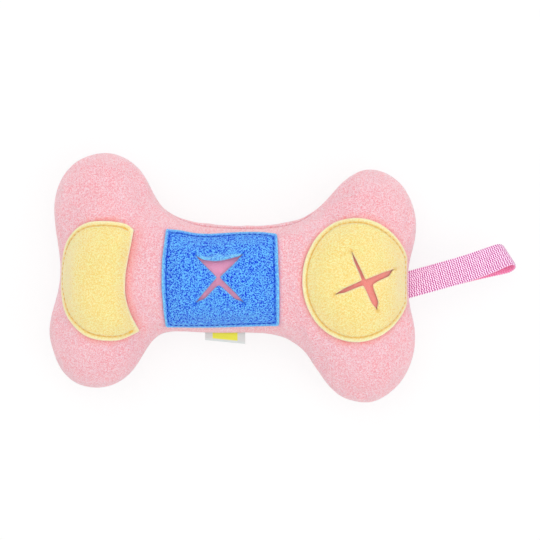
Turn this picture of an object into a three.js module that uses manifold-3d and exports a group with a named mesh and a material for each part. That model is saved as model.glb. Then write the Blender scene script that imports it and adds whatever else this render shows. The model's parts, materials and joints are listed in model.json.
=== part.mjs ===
// A bone-shaped plush puzzle toy, lying on its back with its three pockets up.
// Millimetres, +Z up, X along the bone, the webbing loop at the +X end.
// Two fleece covers are sewn edge to edge round six clumps of fibre fill and a squeaker.
// A base point is (along, across, height over the seam); place() turns it into the model.

import * as THREE from 'three';
import { mergeVertices } from 'three/addons/utils/BufferGeometryUtils.js';
import Module from 'manifold-3d';

const wasm = await Module();
wasm.setup();

// Bone body
const bone_length = 221;
const bone_width = 151.5;
const front_crown = 26;
const back_crown = 24;
const knob_crown = 6;
const knob_spread = 22;
const resting_depth = 25;
const rest_flat = 0.5;

// Fleece covers and the seam that joins them
const fleece_thickness = 1.8;
const seam_roll = 2.2;
const seam_allowance = 4;
const clearance = 0.3;
const seam_thread_diameter = 0.8;
const part_fade = 10;

// The shank is turned on its length, so that the top seam shows
const shank_turn = THREE.MathUtils.degToRad(18);
const turn_centre = 8;
const turn_length = 50;
const turn_fade = 30;
const turn_half_width = 20;

// Fibre fill
const fill_clearance = 0.7;
const shank_fill_length = 72;

// Squeaker
const squeaker_diameter = 34;
const squeaker_height = 16;
const squeaker_wall = 1.4;
const reed_holder_diameter = 7;
const reed_holder_length = 6;
const reed_holder_flange = 1.2;
const reed_bore = 4;
const reed_width = 2.6;
const reed_thickness = 0.4;

// Pockets
const patch_thickness = 1.6;
const stitched_thickness = 0.9;
const stitch_inset = 3;
const patch_thread_diameter = 0.6;
const pocket_depth = 6.5;
const pocket_rise = 13;
const patch_edge_margin = 1.6;
const patch_seat = 0.45;

const square_patch_length = 69;
const square_patch_width = 58;
const square_patch_x = -7;
const square_patch_y = -0.6;

const round_patch_length = 64.6;
const round_patch_width = 73.2;
const round_patch_x = 73.6;
const round_patch_y = -1.8;

const crescent_length = 46.4;
const crescent_width = 70.4;
const crescent_x = -78.2;
const crescent_y = -2;

// The cross cut in the square patch and its lifted petal
const square_cut_x = -8.3;
const square_cut_y = 0.3;
const square_cut_span = 28;
const square_cut_rise = 11;
const square_cut_fall = 14.4;
const petal_slit = 1;
const petal_bend = 3.3;
const petal_turn = THREE.MathUtils.degToRad(170);
const side_slit = 2.2;

// The cross cut in the round patch
const round_cut_x = 77;
const round_cut_y = -2.6;
const round_cut_span = 38;
const round_cut_turn = THREE.MathUtils.degToRad(-21.5);
const round_cut_slits = [2.6, 1.2, 2.2, 4.4];

// Webbing loop
const strap_width = 15.4;
const strap_thickness = 1.2;
const strap_reach = 61.4;
const strap_y = -4.2;
const strap_angle = THREE.MathUtils.degToRad(15.5);
const strap_opening = 9.5;
const strap_roll = THREE.MathUtils.degToRad(28);
const strap_skew = 0.28;
const strap_sag = 3;
const strap_hinge_offset = 2.4;

// Side label
const label_width = 24;
const label_thickness = 0.35;
const label_reach = 4.4;
const label_x = -4.5;
const label_hinge_offset = 0.8;

// Materials
const pink_fleece = { color: 0xfabfc7, roughness: 0.95 };
const yellow_fleece = { color: 0xfce18f, roughness: 0.95 };
const blue_fleece = { color: 0x5096f3, roughness: 0.95 };
const pink_thread = { color: 0xed9ead, roughness: 0.6 };
const yellow_thread = { color: 0xf7d173, roughness: 0.6 };
const blue_thread = { color: 0x3f7fe0, roughness: 0.6 };
const pink_webbing = { color: 0xedaed5, roughness: 0.7 };
const woven_label = { color: 0xd1d9d8, roughness: 0.6 };
const fibre_fill = { color: 0xf4f2ee, roughness: 0.95 };
const squeaker_plastic = { color: 0xe9e7df, roughness: 0.4 };
const reed_plastic = { color: 0xd9d9d1, roughness: 0.4 };

// How finely the shapes are cut
const long_stations = 22;
const end_stations = 14;
const reach_steps = 4;
const patch_stations = 40;
const curve_steps = 160;
const tube_sides = 4;
const round_sides = 20;
const squeaker_steps = 8;

// Seam outline, as shares of half the bone's length and half its width, from the upper
// left knob clockwise: along the top, the right end, the bottom and the left end
const top_shares = [
  [-0.702, 0.992], [-0.599, 0.960], [-0.512, 0.873], [-0.453, 0.738], [-0.393, 0.563],
  [-0.285, 0.464], [-0.144, 0.425], [0.041, 0.409], [0.225, 0.417], [0.377, 0.464],
  [0.485, 0.571], [0.572, 0.718], [0.653, 0.817],
];
const right_shares = [
  [0.745, 0.865], [0.848, 0.825], [0.935, 0.714], [0.992, 0.508], [0.997, 0.325],
  [0.951, 0.071], [0.954, -0.183], [0.995, -0.452], [0.973, -0.675], [0.897, -0.873],
];
const bottom_shares = [
  [0.762, -1.000], [0.648, -0.980], [0.561, -0.929], [0.474, -0.770], [0.382, -0.571],
  [0.257, -0.464], [0.095, -0.440], [-0.079, -0.444], [-0.252, -0.433], [-0.382, -0.437],
  [-0.458, -0.540], [-0.523, -0.714], [-0.621, -0.845],
];
const left_shares = [
  [-0.745, -0.885], [-0.848, -0.857], [-0.930, -0.754], [-0.978, -0.579], [-1.000, -0.381],
  [-0.946, -0.127], [-0.930, 0.071], [-0.951, 0.294], [-0.973, 0.508], [-0.951, 0.722],
  [-0.886, 0.881], [-0.799, 0.960],
];
const knob_shares = [[-0.718, 0.651], [0.756, 0.516], [0.745, -0.627], [-0.762, -0.540]];

// The spine that the covers close on, and the rings between it and the seam
const spine_share = 0.62;
const dome_shares = [0, 0.3, 0.57, 0.78, 0.91, 0.98];
const softness = 8;

// How gently a pocket leaves its stitching, and where its cloth's inner rings lie
const pocket_start = 1.2;
const stitch_reach = 1.05;
const ring_shares = [0.3, 0.6, 0.85, 1];
const least_mitre = 0.6;

// A slit is widest at this share of its length, and narrows to its tip and to its root
const slit_wide_share = 0.35;
const slit_tip_share = 0.45;
const slit_root_share = 0.5;

// Stations along a folded band, and how long its fold is for its opening
const band_shares = [0, 0.14, 0.3, 0.46, 0.62, 0.8, 1];
const band_fold_share = 1.2;
const fold_angles = [60, 30, 0, -30, -60].map(THREE.MathUtils.degToRad);
const tail_angles = [-90, -54, -18, 18, 54, 90].map(THREE.MathUtils.degToRad);

// How full the squeaker's sides are: less is fuller
const squeaker_fullness = 0.6;

// Crescent pocket outline, as shares of its half length and half width
const crescent_arc_shares = [
  [0.88, 0.85], [0.59, 0.96], [0.03, 1.00], [-0.40, 0.95], [-0.74, 0.76], [-0.93, 0.47],
  [-1.00, 0], [-0.93, -0.42], [-0.74, -0.69], [-0.40, -0.91], [0.03, -1.00], [0.51, -0.99],
  [1.00, -0.84],
];
const crescent_mouth_shares = [
  [1.00, -0.84], [0.81, -0.60], [0.68, -0.29], [0.66, 0.02], [0.72, 0.30], [0.88, 0.85],
];
const crescent_arc_share = 0.7;

// Square patch corners and the bow of each side, as shares of its half length and width
const square_corner_shares = [[-0.94, 0.99], [0.97, 0.83], [1.0, -0.92], [-0.95, -0.96]];
const square_bow_shares = [-0.12, 0.04, -0.01, 0.09];

function scale_points(shares, half_x, half_y, centre_x = 0, centre_y = 0) {
  return shares.map(([x, y]) => new THREE.Vector3(centre_x + x * half_x, centre_y + y * half_y, 0));
}

// Evenly spaced points of a polyline, without its last one
function spaced(points, count) {
  const lengths = [0];
  for (let i = 1; i < points.length; i++) {
    lengths.push(lengths[i - 1] + points[i].distanceTo(points[i - 1]));
  }
  const total = lengths[lengths.length - 1];
  const result = [];
  let at = 0;
  for (let k = 0; k < count; k++) {
    const goal = total * k / count;
    while (lengths[at + 1] < goal) at++;
    const share = (goal - lengths[at]) / (lengths[at + 1] - lengths[at]);
    result.push(points[at].clone().lerp(points[at + 1], share));
  }
  return result;
}

// A stretch of a closed curve between two of its control points, as a fine polyline
function stretch(curve, first, last, steps) {
  const points = [];
  const count = (last - first) * steps;
  for (let i = 0; i <= count; i++) {
    points.push(curve.getPoint(((first + i / steps) / curve.points.length) % 1));
  }
  return points;
}

const outline_controls = scale_points(
  [...top_shares, ...right_shares, ...bottom_shares, ...left_shares],
  bone_length / 2,
  bone_width / 2,
);
const outline_curve = new THREE.CatmullRomCurve3(outline_controls, true, 'catmullrom', 0.5);
const fine = stretch(outline_curve, 0, outline_controls.length, reach_steps).slice(0, -1);

function outline_side(first_shares, own_shares, stations) {
  const first = first_shares.reduce((sum, shares) => sum + shares.length, 0);
  const steps = reach_steps * reach_steps;
  return spaced(stretch(outline_curve, first, first + own_shares.length, steps), stations);
}

const top_points = outline_side([], top_shares, long_stations);
const right_points = outline_side([top_shares], right_shares, end_stations);
const bottom_points = outline_side([top_shares, right_shares], bottom_shares, long_stations);
const left_points = outline_side([top_shares, right_shares, bottom_shares], left_shares, end_stations);

// The mean distance from a point to the outline, over all directions: it is the half width
// of a round, and falls to nothing at the edge
function reach(x, y) {
  let sum = 0;
  for (let i = 0; i < fine.length; i++) {
    const a = fine[i];
    const b = fine[(i + 1) % fine.length];
    const length = a.distanceTo(b);
    const along_x = (b.x - a.x) / length;
    const along_y = (b.y - a.y) / length;
    const start = (a.x - x) * along_x + (a.y - y) * along_y;
    const end = start + length;
    const off = (a.x - x) * along_y - (a.y - y) * along_x;
    if (Math.abs(off) > Number.EPSILON * length) {
      sum += (end / Math.hypot(end, off) - start / Math.hypot(start, off)) / off;
    }
  }
  return 2 * Math.PI / Math.abs(sum);
}

const shank_reach = reach(0, 0);
const knobs = scale_points(knob_shares, bone_length / 2, bone_width / 2);

// How high a stuffed cover stands over its rolled edge
function swell(x, y, crown) {
  let height = crown;
  for (const knob of knobs) {
    const away = Math.hypot(x - knob.x, y - knob.y) / knob_spread;
    height += knob_crown * Math.exp(-away * away);
  }
  return height * Math.sqrt(reach(x, y) / shank_reach);
}

const front = {
  side: 1,
  height: (x, y) => swell(x, y, front_crown),
};

// The back sinks to one level where the toy's weight rests on it
const back = {
  side: -1,
  height: (x, y) => {
    const depth = swell(x, y, back_crown);
    return depth / (1 + (depth / resting_depth) ** softness) ** (1 / softness);
  },
};

const edge_height = clearance / 2 + seam_roll;
const knob_depths = knobs.map((knob) => back.height(knob.x, knob.y));
const seam_height = Math.max(...knob_depths) + edge_height - rest_flat;

function fade(value) {
  const share = THREE.MathUtils.clamp(value, 0, 1);
  return share * share * (3 - 2 * share);
}

// The turn is whole along the top of the shank and fades out below its middle
function turn_at(x, y) {
  const past = Math.abs(x - turn_centre) - turn_length / 2;
  return shank_turn * (1 - fade(past / turn_fade)) * fade((y / turn_half_width + 1) / 2);
}

function place(x, y, height) {
  const turn = turn_at(x, y);
  return new THREE.Vector3(
    x,
    y * Math.cos(turn) - height * Math.sin(turn),
    seam_height + y * Math.sin(turn) + height * Math.cos(turn),
  );
}

// Stations round the seam: a point, the way inward, the spine point and how far the strap or
// the label holds the two covers apart there
const all_points = [...top_points, ...right_points, ...bottom_points, ...left_points];
const spine_half = spine_share * bone_length / 2;
const strap_part = strap_thickness + clearance / 2;
const label_part = label_thickness + clearance / 2;
const station_step = bone_width / all_points.length * Math.PI;

function parted(distance, half_width, most) {
  return most * (1 - fade((distance - half_width - station_step) / part_fade));
}

function spine_x(index) {
  const right = long_stations;
  const bottom = right + end_stations;
  const left = bottom + long_stations;
  if (index <= right) return spine_half * (2 * index / long_stations - 1);
  if (index <= bottom) return spine_half;
  if (index <= left) return spine_half * (1 - 2 * (index - bottom) / long_stations);
  return -spine_half;
}

const stations = all_points.map((point, index) => {
  const before = all_points[(index + all_points.length - 1) % all_points.length];
  const after = all_points[(index + 1) % all_points.length];
  const along = after.clone().sub(before).normalize();
  const near_strap = point.x > spine_half ? Math.abs(point.y - strap_y) : Infinity;
  const near_label = point.y < 0 ? Math.abs(point.x - label_x) : Infinity;
  return {
    point,
    inward: new THREE.Vector2(along.y, -along.x),
    spine: new THREE.Vector2(spine_x(index), 0),
    part: parted(near_strap, strap_width / 2, strap_part)
      + parted(near_label, label_width / 2, label_part),
  };
});

// A point near the seam, given by its distance inside the outline and its height
function seam_point(station, side, inset, height) {
  return place(
    station.point.x + station.inward.x * inset,
    station.point.y + station.inward.y * inset,
    side * (height + station.part),
  );
}

// A point of a stuffed cover, moved inward along its own normal by depth
function dome_point(station, cover, share, depth) {
  const x = THREE.MathUtils.lerp(station.spine.x, station.point.x, share);
  const y = THREE.MathUtils.lerp(station.spine.y, station.point.y, share);
  const nudge = clearance / 10;
  const height = cover.height(x, y);
  const slope_x = (cover.height(x + nudge, y) - cover.height(x - nudge, y)) / (2 * nudge);
  const slope_y = (cover.height(x, y + nudge) - cover.height(x, y - nudge)) / (2 * nudge);
  const steepness = Math.hypot(slope_x, slope_y, 1);
  return place(
    x + slope_x / steepness * depth,
    y + slope_y / steepness * depth,
    cover.side * (edge_height + height - depth / steepness),
  );
}

// A closed skin through rings of points, each split across its shorter way. The first and
// last rings are joined to each other, capped, or else lie where they meet themselves.
function skin(rings, { joined = false, capped = false } = {}) {
  const positions = [];
  const put = (...points) => points.forEach((p) => positions.push(p.x, p.y, p.z));
  const size = rings[0].length;
  const last = joined ? rings.length : rings.length - 1;
  for (let r = 0; r < last; r++) {
    const lower = rings[r];
    const upper = rings[(r + 1) % rings.length];
    for (let i = 0; i < size; i++) {
      const j = (i + 1) % size;
      if (lower[i].distanceTo(upper[j]) < lower[j].distanceTo(upper[i])) {
        put(lower[i], lower[j], upper[j], lower[i], upper[j], upper[i]);
      } else {
        put(lower[i], lower[j], upper[i], lower[j], upper[j], upper[i]);
      }
    }
  }
  if (capped) {
    for (let i = 1; i < size - 1; i++) {
      put(rings[0][0], rings[0][i + 1], rings[0][i]);
      put(rings[last][0], rings[last][i], rings[last][i + 1]);
    }
  }
  const geometry = new THREE.BufferGeometry();
  geometry.setAttribute('position', new THREE.Float32BufferAttribute(positions, 3));
  return tidy(geometry);
}

// Merges shared points, drops triangles without area and turns the faces outward
function tidy(geometry) {
  const bare = geometry.clone();
  bare.deleteAttribute('normal');
  bare.deleteAttribute('uv');
  const merged = mergeVertices(bare, clearance / 1000);
  const index = merged.index.array;
  const kept = [];
  for (let i = 0; i < index.length; i += 3) {
    const [a, b, c] = [index[i], index[i + 1], index[i + 2]];
    if (a !== b && b !== c && c !== a) kept.push(a, b, c);
  }
  merged.setIndex(kept);
  if (volume(merged) < 0) {
    for (let i = 0; i < kept.length; i += 3) [kept[i], kept[i + 1]] = [kept[i + 1], kept[i]];
    merged.setIndex(kept);
  }
  return merged;
}

function volume(geometry) {
  const position = geometry.attributes.position;
  const index = geometry.index.array;
  const corners = [new THREE.Vector3(), new THREE.Vector3(), new THREE.Vector3()];
  let sum = 0;
  for (let i = 0; i < index.length; i += 3) {
    corners.forEach((corner, k) => corner.fromBufferAttribute(position, index[i + k]));
    sum += corners[0].dot(corners[1].cross(corners[2]));
  }
  return sum / 6;
}

function solid(geometry) {
  const closed = tidy(geometry);
  return new wasm.Manifold(new wasm.Mesh({
    numProp: 3,
    vertProperties: new Float32Array(closed.attributes.position.array),
    triVerts: new Uint32Array(closed.index.array),
  }));
}

function from_solid(body) {
  const mesh = body.getMesh();
  const geometry = new THREE.BufferGeometry();
  geometry.setAttribute('position', new THREE.Float32BufferAttribute(mesh.vertProperties, 3));
  geometry.setIndex([...mesh.triVerts]);
  return geometry;
}

const group = new THREE.Group();

function add(name, geometry, look) {
  const shown = geometry.toNonIndexed();
  shown.computeVertexNormals();
  const mesh = new THREE.Mesh(shown, new THREE.MeshStandardMaterial({ ...look, metalness: 0 }));
  mesh.name = name;
  group.add(mesh);
}

// A tube of few sides through points, closed on itself or capped; up is the way off the
// surface that it lies on
function tube(points, ups, diameter, closed) {
  const rings = points.map((point, i) => {
    const before = closed ? points[(i + points.length - 1) % points.length] : points[Math.max(0, i - 1)];
    const after = closed ? points[(i + 1) % points.length] : points[Math.min(points.length - 1, i + 1)];
    const along = after.clone().sub(before).normalize();
    const across = new THREE.Vector3().crossVectors(along, ups[i]).normalize();
    const off = new THREE.Vector3().crossVectors(across, along);
    const ring = [];
    for (let k = 0; k < tube_sides; k++) {
      const angle = 2 * Math.PI * (k + 0.5) / tube_sides;
      ring.push(point.clone()
        .addScaledVector(across, Math.cos(angle) * diameter / 2)
        .addScaledVector(off, Math.sin(angle) * diameter / 2));
    }
    return ring;
  });
  return skin(rings, { joined: closed, capped: !closed });
}

// Covers: the outer dome, the rolled edge, the turned-in allowance and the inner dome
function cover_shell(cover) {
  const { side } = cover;
  const gap = clearance / 2;
  const inner_roll = seam_roll - fleece_thickness;
  const allowance_end = seam_roll + seam_allowance;
  const layers = [];
  for (const share of dome_shares) layers.push((s) => dome_point(s, cover, share, 0));
  for (const angle of [0, Math.PI / 6, Math.PI / 3, Math.PI / 2]) {
    const inset = seam_roll * (1 - Math.cos(angle));
    const height = gap + seam_roll * (1 - Math.sin(angle));
    layers.push((s) => seam_point(s, side, inset, height));
  }
  layers.push((s) => seam_point(s, side, allowance_end, gap));
  layers.push((s) => seam_point(s, side, allowance_end, gap + fleece_thickness));
  layers.push((s) => seam_point(s, side, seam_roll, gap + fleece_thickness));
  layers.push((s) => seam_point(s, side, seam_roll - inner_roll, edge_height));
  for (const share of [...dome_shares].reverse()) {
    layers.push((s) => dome_point(s, cover, share, fleece_thickness));
  }
  return skin(layers.map((layer) => stations.map(layer)));
}

function box(x0, x1, y0, y1, z0, z1) {
  const geometry = new THREE.BoxGeometry(x1 - x0, y1 - y0, z1 - z0);
  geometry.translate((x0 + x1) / 2, (y0 + y1) / 2, (z0 + z1) / 2);
  return solid(geometry);
}

const far = bone_length;

function add_covers() {
  add('front_panel', cover_shell(front), pink_fleece);
  const below = box(-far, far, -far, far, -far, 0);
  add('back_panel', from_solid(solid(cover_shell(back)).subtract(below)), pink_fleece);
}

// The thread that binds the two turned-in edges all round, just inside them
function add_seam_thread() {
  const inset = seam_roll + seam_allowance + clearance + seam_thread_diameter / 2;
  const flat = stations.map((s) => ({ ...s, part: 0 }));
  const points = flat.map((s) => seam_point(s, 1, inset, 0));
  const ups = flat.map((s, i) => seam_point(s, 1, inset, seam_roll).sub(points[i]));
  add('seam_thread', tube(points, ups, seam_thread_diameter, true), pink_thread);
}

// The hand-sewn end of the seam, where the fill went in, lies in the groove along the top
const closing_first_share = 0.3;
const closing_last_share = 0.76;

function add_closing_thread() {
  const diameter = patch_thread_diameter;
  const inset = seam_roll - clearance - diameter * 1.5;
  const first = Math.round(long_stations * closing_first_share);
  const last = Math.round(long_stations * closing_last_share);
  const own = stations.slice(first, last + 1);
  const points = own.map((s) => seam_point(s, 1, inset, 0));
  const ups = own.map((s, i) => seam_point(s, 1, inset, seam_roll).sub(points[i]));
  add('closing_thread', tube(points, ups, diameter, false), pink_thread);
}

// Fibre fill: one form inside the covers, parted into clumps
function fill_form() {
  const depth = fleece_thickness + fill_clearance;
  const step_height = clearance / 2 + fleece_thickness + fill_clearance;
  const step_inset = seam_roll + seam_allowance + seam_thread_diameter + 3 * clearance + fill_clearance;
  const layers = [];
  const inner_shares = dome_shares.slice(0, -1);
  for (const share of inner_shares) layers.push((s) => dome_point(s, front, share, depth));
  layers.push((s) => seam_point(s, 1, depth + clearance, step_height));
  layers.push((s) => seam_point(s, 1, step_inset, step_height));
  layers.push((s) => seam_point(s, -1, step_inset, step_height));
  layers.push((s) => seam_point(s, -1, depth + clearance, step_height));
  for (const share of [...inner_shares].reverse()) {
    layers.push((s) => dome_point(s, back, share, depth));
  }
  return skin(layers.map((layer) => stations.map(layer)));
}

const squeaker_radius = squeaker_diameter / 2;
const squeaker_base = seam_height - squeaker_height / 2;

// The squeaker's outer section, grown by a margin, from the axis round to the axis
function squeaker_section(margin) {
  const radius = squeaker_radius + margin;
  const half = squeaker_height / 2 + margin;
  const section = [];
  for (let k = 0; k <= squeaker_steps; k++) {
    const angle = Math.PI * k / squeaker_steps;
    const wide = k % squeaker_steps === 0 ? 0 : radius * Math.sin(angle) ** squeaker_fullness;
    section.push(new THREE.Vector2(wide, half * -Math.cos(angle)));
  }
  return section;
}

function lathe(section, z) {
  const geometry = new THREE.LatheGeometry(section, round_sides);
  geometry.rotateX(Math.PI / 2);
  geometry.translate(0, 0, z);
  return tidy(geometry);
}

function add_fill() {
  const form = solid(fill_form());
  const cut = shank_fill_length / 2;
  const gap = clearance / 2;
  const knob_boxes = {
    left_upper_knob_fill: [-far, -cut - gap, gap, far],
    left_lower_knob_fill: [-far, -cut - gap, -far, -gap],
    right_upper_knob_fill: [cut + gap, far, gap, far],
    right_lower_knob_fill: [cut + gap, far, -far, -gap],
  };
  for (const [name, [x0, x1, y0, y1]] of Object.entries(knob_boxes)) {
    add(name, from_solid(form.intersect(box(x0, x1, y0, y1, -far, far))), fibre_fill);
  }
  const margin = reed_holder_flange + 3 * clearance;
  const recess = solid(lathe(squeaker_section(margin), seam_height));
  const shank = form.subtract(recess);
  const upper = shank.intersect(box(-cut + gap, cut - gap, -far, far, seam_height + gap, far));
  const lower = shank.intersect(box(-cut + gap, cut - gap, -far, far, -far, seam_height - gap));
  add('shank_fill_front', from_solid(upper), fibre_fill);
  add('shank_fill_back', from_solid(lower), fibre_fill);
}

// Squeaker: a blown bulb with a plug in its underside that holds a reed
function add_squeaker() {
  const hole = reed_holder_diameter / 2 + clearance;
  const outer = squeaker_section(0).filter((p) => p.x === 0 || p.x > hole).slice(1);
  const inner = squeaker_section(-squeaker_wall).filter((p) => p.x === 0 || p.x > hole).slice(1);
  const floor = -squeaker_height / 2;
  const bulb = [
    ...[...outer].reverse(),
    new THREE.Vector2(hole, floor),
    new THREE.Vector2(hole, floor + squeaker_wall),
    ...inner,
  ];
  add('squeaker_bulb', lathe(bulb, seam_height), squeaker_plastic);

  const bore = reed_bore / 2;
  const flange = reed_holder_diameter / 2 + squeaker_wall;
  const radius = reed_holder_diameter / 2;
  const holder = [
    new THREE.Vector2(bore, 0),
    new THREE.Vector2(flange, 0),
    new THREE.Vector2(flange, reed_holder_flange),
    new THREE.Vector2(radius, reed_holder_flange),
    new THREE.Vector2(radius, reed_holder_length),
    new THREE.Vector2(bore, reed_holder_length),
    new THREE.Vector2(bore, 0),
  ];
  const holder_base = squeaker_base - reed_holder_flange - clearance;
  add('squeaker_reed_holder', lathe(holder, holder_base), squeaker_plastic);

  const reed_length = reed_holder_length - clearance;
  const reed = new THREE.BoxGeometry(reed_width, reed_thickness, reed_length);
  reed.translate(0, 0, holder_base + reed_holder_length / 2);
  add('squeaker_reed', tidy(reed), reed_plastic);
}

// The largest across value of the outline at a place along the bone, on its upper side
function top_edge(x) {
  let most = 0;
  for (let i = 0; i < fine.length; i++) {
    const a = fine[i];
    const b = fine[(i + 1) % fine.length];
    if ((a.x - x) * (b.x - x) <= 0 && a.x !== b.x) {
      most = Math.max(most, a.y + (b.y - a.y) * (x - a.x) / (b.x - a.x));
    }
  }
  return most;
}

// The front cover's outer surface, seen from above at (x, y)
function front_surface(x, y) {
  let low = y;
  let high = turn_at(x, top_edge(x)) > 0 ? top_edge(x) : y;
  while (high - low > clearance / 100) {
    const middle = (low + high) / 2;
    if (place(x, middle, edge_height + front.height(x, middle)).y < y) low = middle;
    else high = middle;
  }
  return place(x, low, edge_height + front.height(x, low));
}

function front_normal(x, y) {
  const nudge = clearance;
  const along = front_surface(x + nudge, y).sub(front_surface(x - nudge, y));
  const across = front_surface(x, y + nudge).sub(front_surface(x, y - nudge));
  return along.cross(across).normalize();
}

// The mean distance from a point to a sewn line: smooth, and nothing on the line itself
function distance_to_line(x, y, line) {
  let sum = 0;
  for (let i = 1; i < line.length; i++) {
    const a = line[i - 1];
    const b = line[i];
    const length = a.distanceTo(b);
    const along_x = (b.x - a.x) / length;
    const along_y = (b.y - a.y) / length;
    const start = (a.x - x) * along_x + (a.y - y) * along_y;
    const off = Math.max(Math.abs((a.x - x) * along_y - (a.y - y) * along_x), clearance / 100);
    sum += (Math.atan((start + length) / off) - Math.atan(start / off)) / off;
  }
  return Math.PI / sum;
}

// How far a pocket stands off the cover, from its distance to the sewn edge
function pocket_lift(x, y, sewn) {
  const past = distance_to_line(x, y, sewn) - stitch_inset * stitch_reach;
  const inside = THREE.MathUtils.clamp(past / pocket_rise, 0, 1);
  return pocket_depth * Math.sin(inside * Math.PI / 2) ** pocket_start;
}

function patch_normal_point(x, y, lift) {
  return front_surface(x, y).addScaledVector(front_normal(x, y), lift);
}

// A pocket's cloth, sewn down along the sewn line of its edge
function patch_rings(edge, sewn, centre) {
  const inward = edge.map((point, i) => {
    const before = edge[(i + edge.length - 1) % edge.length];
    const after = edge[(i + 1) % edge.length];
    const into = point.clone().sub(before).normalize();
    const out = after.clone().sub(point).normalize();
    const normal = new THREE.Vector3(into.y + out.y, -into.x - out.x, 0).normalize();
    const square = Math.max(least_mitre, normal.dot(new THREE.Vector3(into.y, -into.x, 0)));
    if (normal.dot(centre.clone().sub(point)) < 0) normal.negate();
    return normal.divideScalar(square);
  });
  const inset = (distance) => edge.map((p, i) => p.clone().addScaledVector(inward[i], distance));
  const past_stitch = inset(stitch_inset + patch_thickness);
  const toward = (share) => past_stitch.map((p) => p.clone().lerp(centre, share));
  const rings = [
    { points: edge, thickness: patch_thickness },
    { points: inset(stitch_inset), thickness: stitched_thickness },
    { points: past_stitch, thickness: patch_thickness },
    ...ring_shares.map((share) => ({ points: toward(share), thickness: patch_thickness })),
  ];
  const lower = rings.map((ring) => ring.points.map(
    (p) => patch_normal_point(p.x, p.y, patch_seat + pocket_lift(p.x, p.y, sewn)),
  ));
  const upper = rings.map((ring) => ring.points.map(
    (p) => patch_normal_point(p.x, p.y, patch_seat + ring.thickness + pocket_lift(p.x, p.y, sewn)),
  ));
  const thread_lift = patch_seat + stitched_thickness + clearance + patch_thread_diameter / 2;
  const thread = rings[1].points.map((p) => patch_normal_point(p.x, p.y, thread_lift));
  const ups = rings[1].points.map((p) => front_normal(p.x, p.y));
  return { cloth: skin([...lower].reverse().concat(upper)), thread, ups };
}

// A tapered cross as an upright cutter: tips, and the width of each arm
function cross_cutter(centre, tips, widths) {
  let cutter = null;
  tips.forEach((tip, i) => {
    const arm = tip.clone().sub(centre);
    const side = new THREE.Vector2(-arm.y, arm.x).normalize().multiplyScalar(widths[i] / 2);
    const wide = centre.clone().lerp(tip, slit_wide_share);
    const root = centre.clone().addScaledVector(arm, -widths[i] / arm.length() / 2);
    const shape = new THREE.Shape([
      root.clone().addScaledVector(side, -slit_root_share),
      wide.clone().sub(side),
      tip.clone().addScaledVector(side, -slit_tip_share),
      tip.clone().addScaledVector(side, slit_tip_share),
      wide.clone().add(side),
      root.clone().addScaledVector(side, slit_root_share),
    ]);
    const blade = new THREE.ExtrudeGeometry(shape, { depth: far, bevelEnabled: false });
    const piece = solid(blade);
    cutter = cutter ? cutter.add(piece) : piece;
  });
  return cutter;
}

function bowed_side(from, to, bow, count) {
  const middle = from.clone().lerp(to, 0.5).addScaledVector(
    new THREE.Vector3(to.y - from.y, from.x - to.x, 0),
    -bow / 2,
  );
  const curve = new THREE.QuadraticBezierCurve3(from, middle, to);
  return spaced(curve.getPoints(curve_steps), count);
}

function add_square_patch() {
  const centre = new THREE.Vector3(square_patch_x, square_patch_y, 0);
  const corners = scale_points(
    square_corner_shares,
    square_patch_length / 2,
    square_patch_width / 2,
    centre.x,
    centre.y,
  );
  const edge = corners.flatMap((corner, i) => {
    const next = corners[(i + 1) % corners.length];
    return bowed_side(corner, next, square_bow_shares[i], patch_stations / corners.length);
  });
  const { cloth, thread, ups } = patch_rings(edge, [...edge, edge[0]], centre);

  const cross = new THREE.Vector2(square_cut_x, square_cut_y);
  const half = square_cut_span / 2;
  const tips = [
    new THREE.Vector2(cross.x - half, cross.y + square_cut_rise),
    new THREE.Vector2(cross.x + half, cross.y + square_cut_rise),
    new THREE.Vector2(cross.x + half, cross.y - square_cut_fall),
    new THREE.Vector2(cross.x - half, cross.y - square_cut_fall),
  ];
  const widths = [petal_slit, petal_slit, side_slit, side_slit];
  const cut = from_solid(solid(cloth).subtract(cross_cutter(cross, tips, widths)));
  add('square_patch', lift_petal(cut, cross, tips, [...edge, edge[0]]), blue_fleece);
  add('square_patch_thread', tube(thread, ups, patch_thread_diameter, true), blue_thread);
}

// Bends the upper petal up about the line between the tips of the two upper slits
function lift_petal(geometry, cross, tips, sewn) {
  const position = geometry.attributes.position;
  const point = new THREE.Vector3();
  for (let i = 0; i < position.count; i++) {
    point.fromBufferAttribute(position, i);
    const down = tips[0].y - point.y;
    const share = 1 - down / square_cut_rise;
    if (down > 0 && share > 0 && Math.abs(point.x - cross.x) <= share * square_cut_span / 2) {
      const lift = patch_seat + pocket_lift(point.x, point.y, sewn);
      const base = patch_normal_point(point.x, point.y, lift);
      const level = point.z - base.z;
      const turn = Math.min(down / petal_bend, petal_turn);
      const straight = down - turn * petal_bend;
      const reach_out = petal_bend * Math.sin(turn) + straight * Math.cos(turn);
      const reach_up = petal_bend * (1 - Math.cos(turn)) + straight * Math.sin(turn);
      position.setXYZ(
        i,
        point.x,
        tips[0].y - reach_out + level * Math.sin(turn),
        base.z + reach_up + level * Math.cos(turn),
      );
    }
  }
  return geometry;
}

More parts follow.
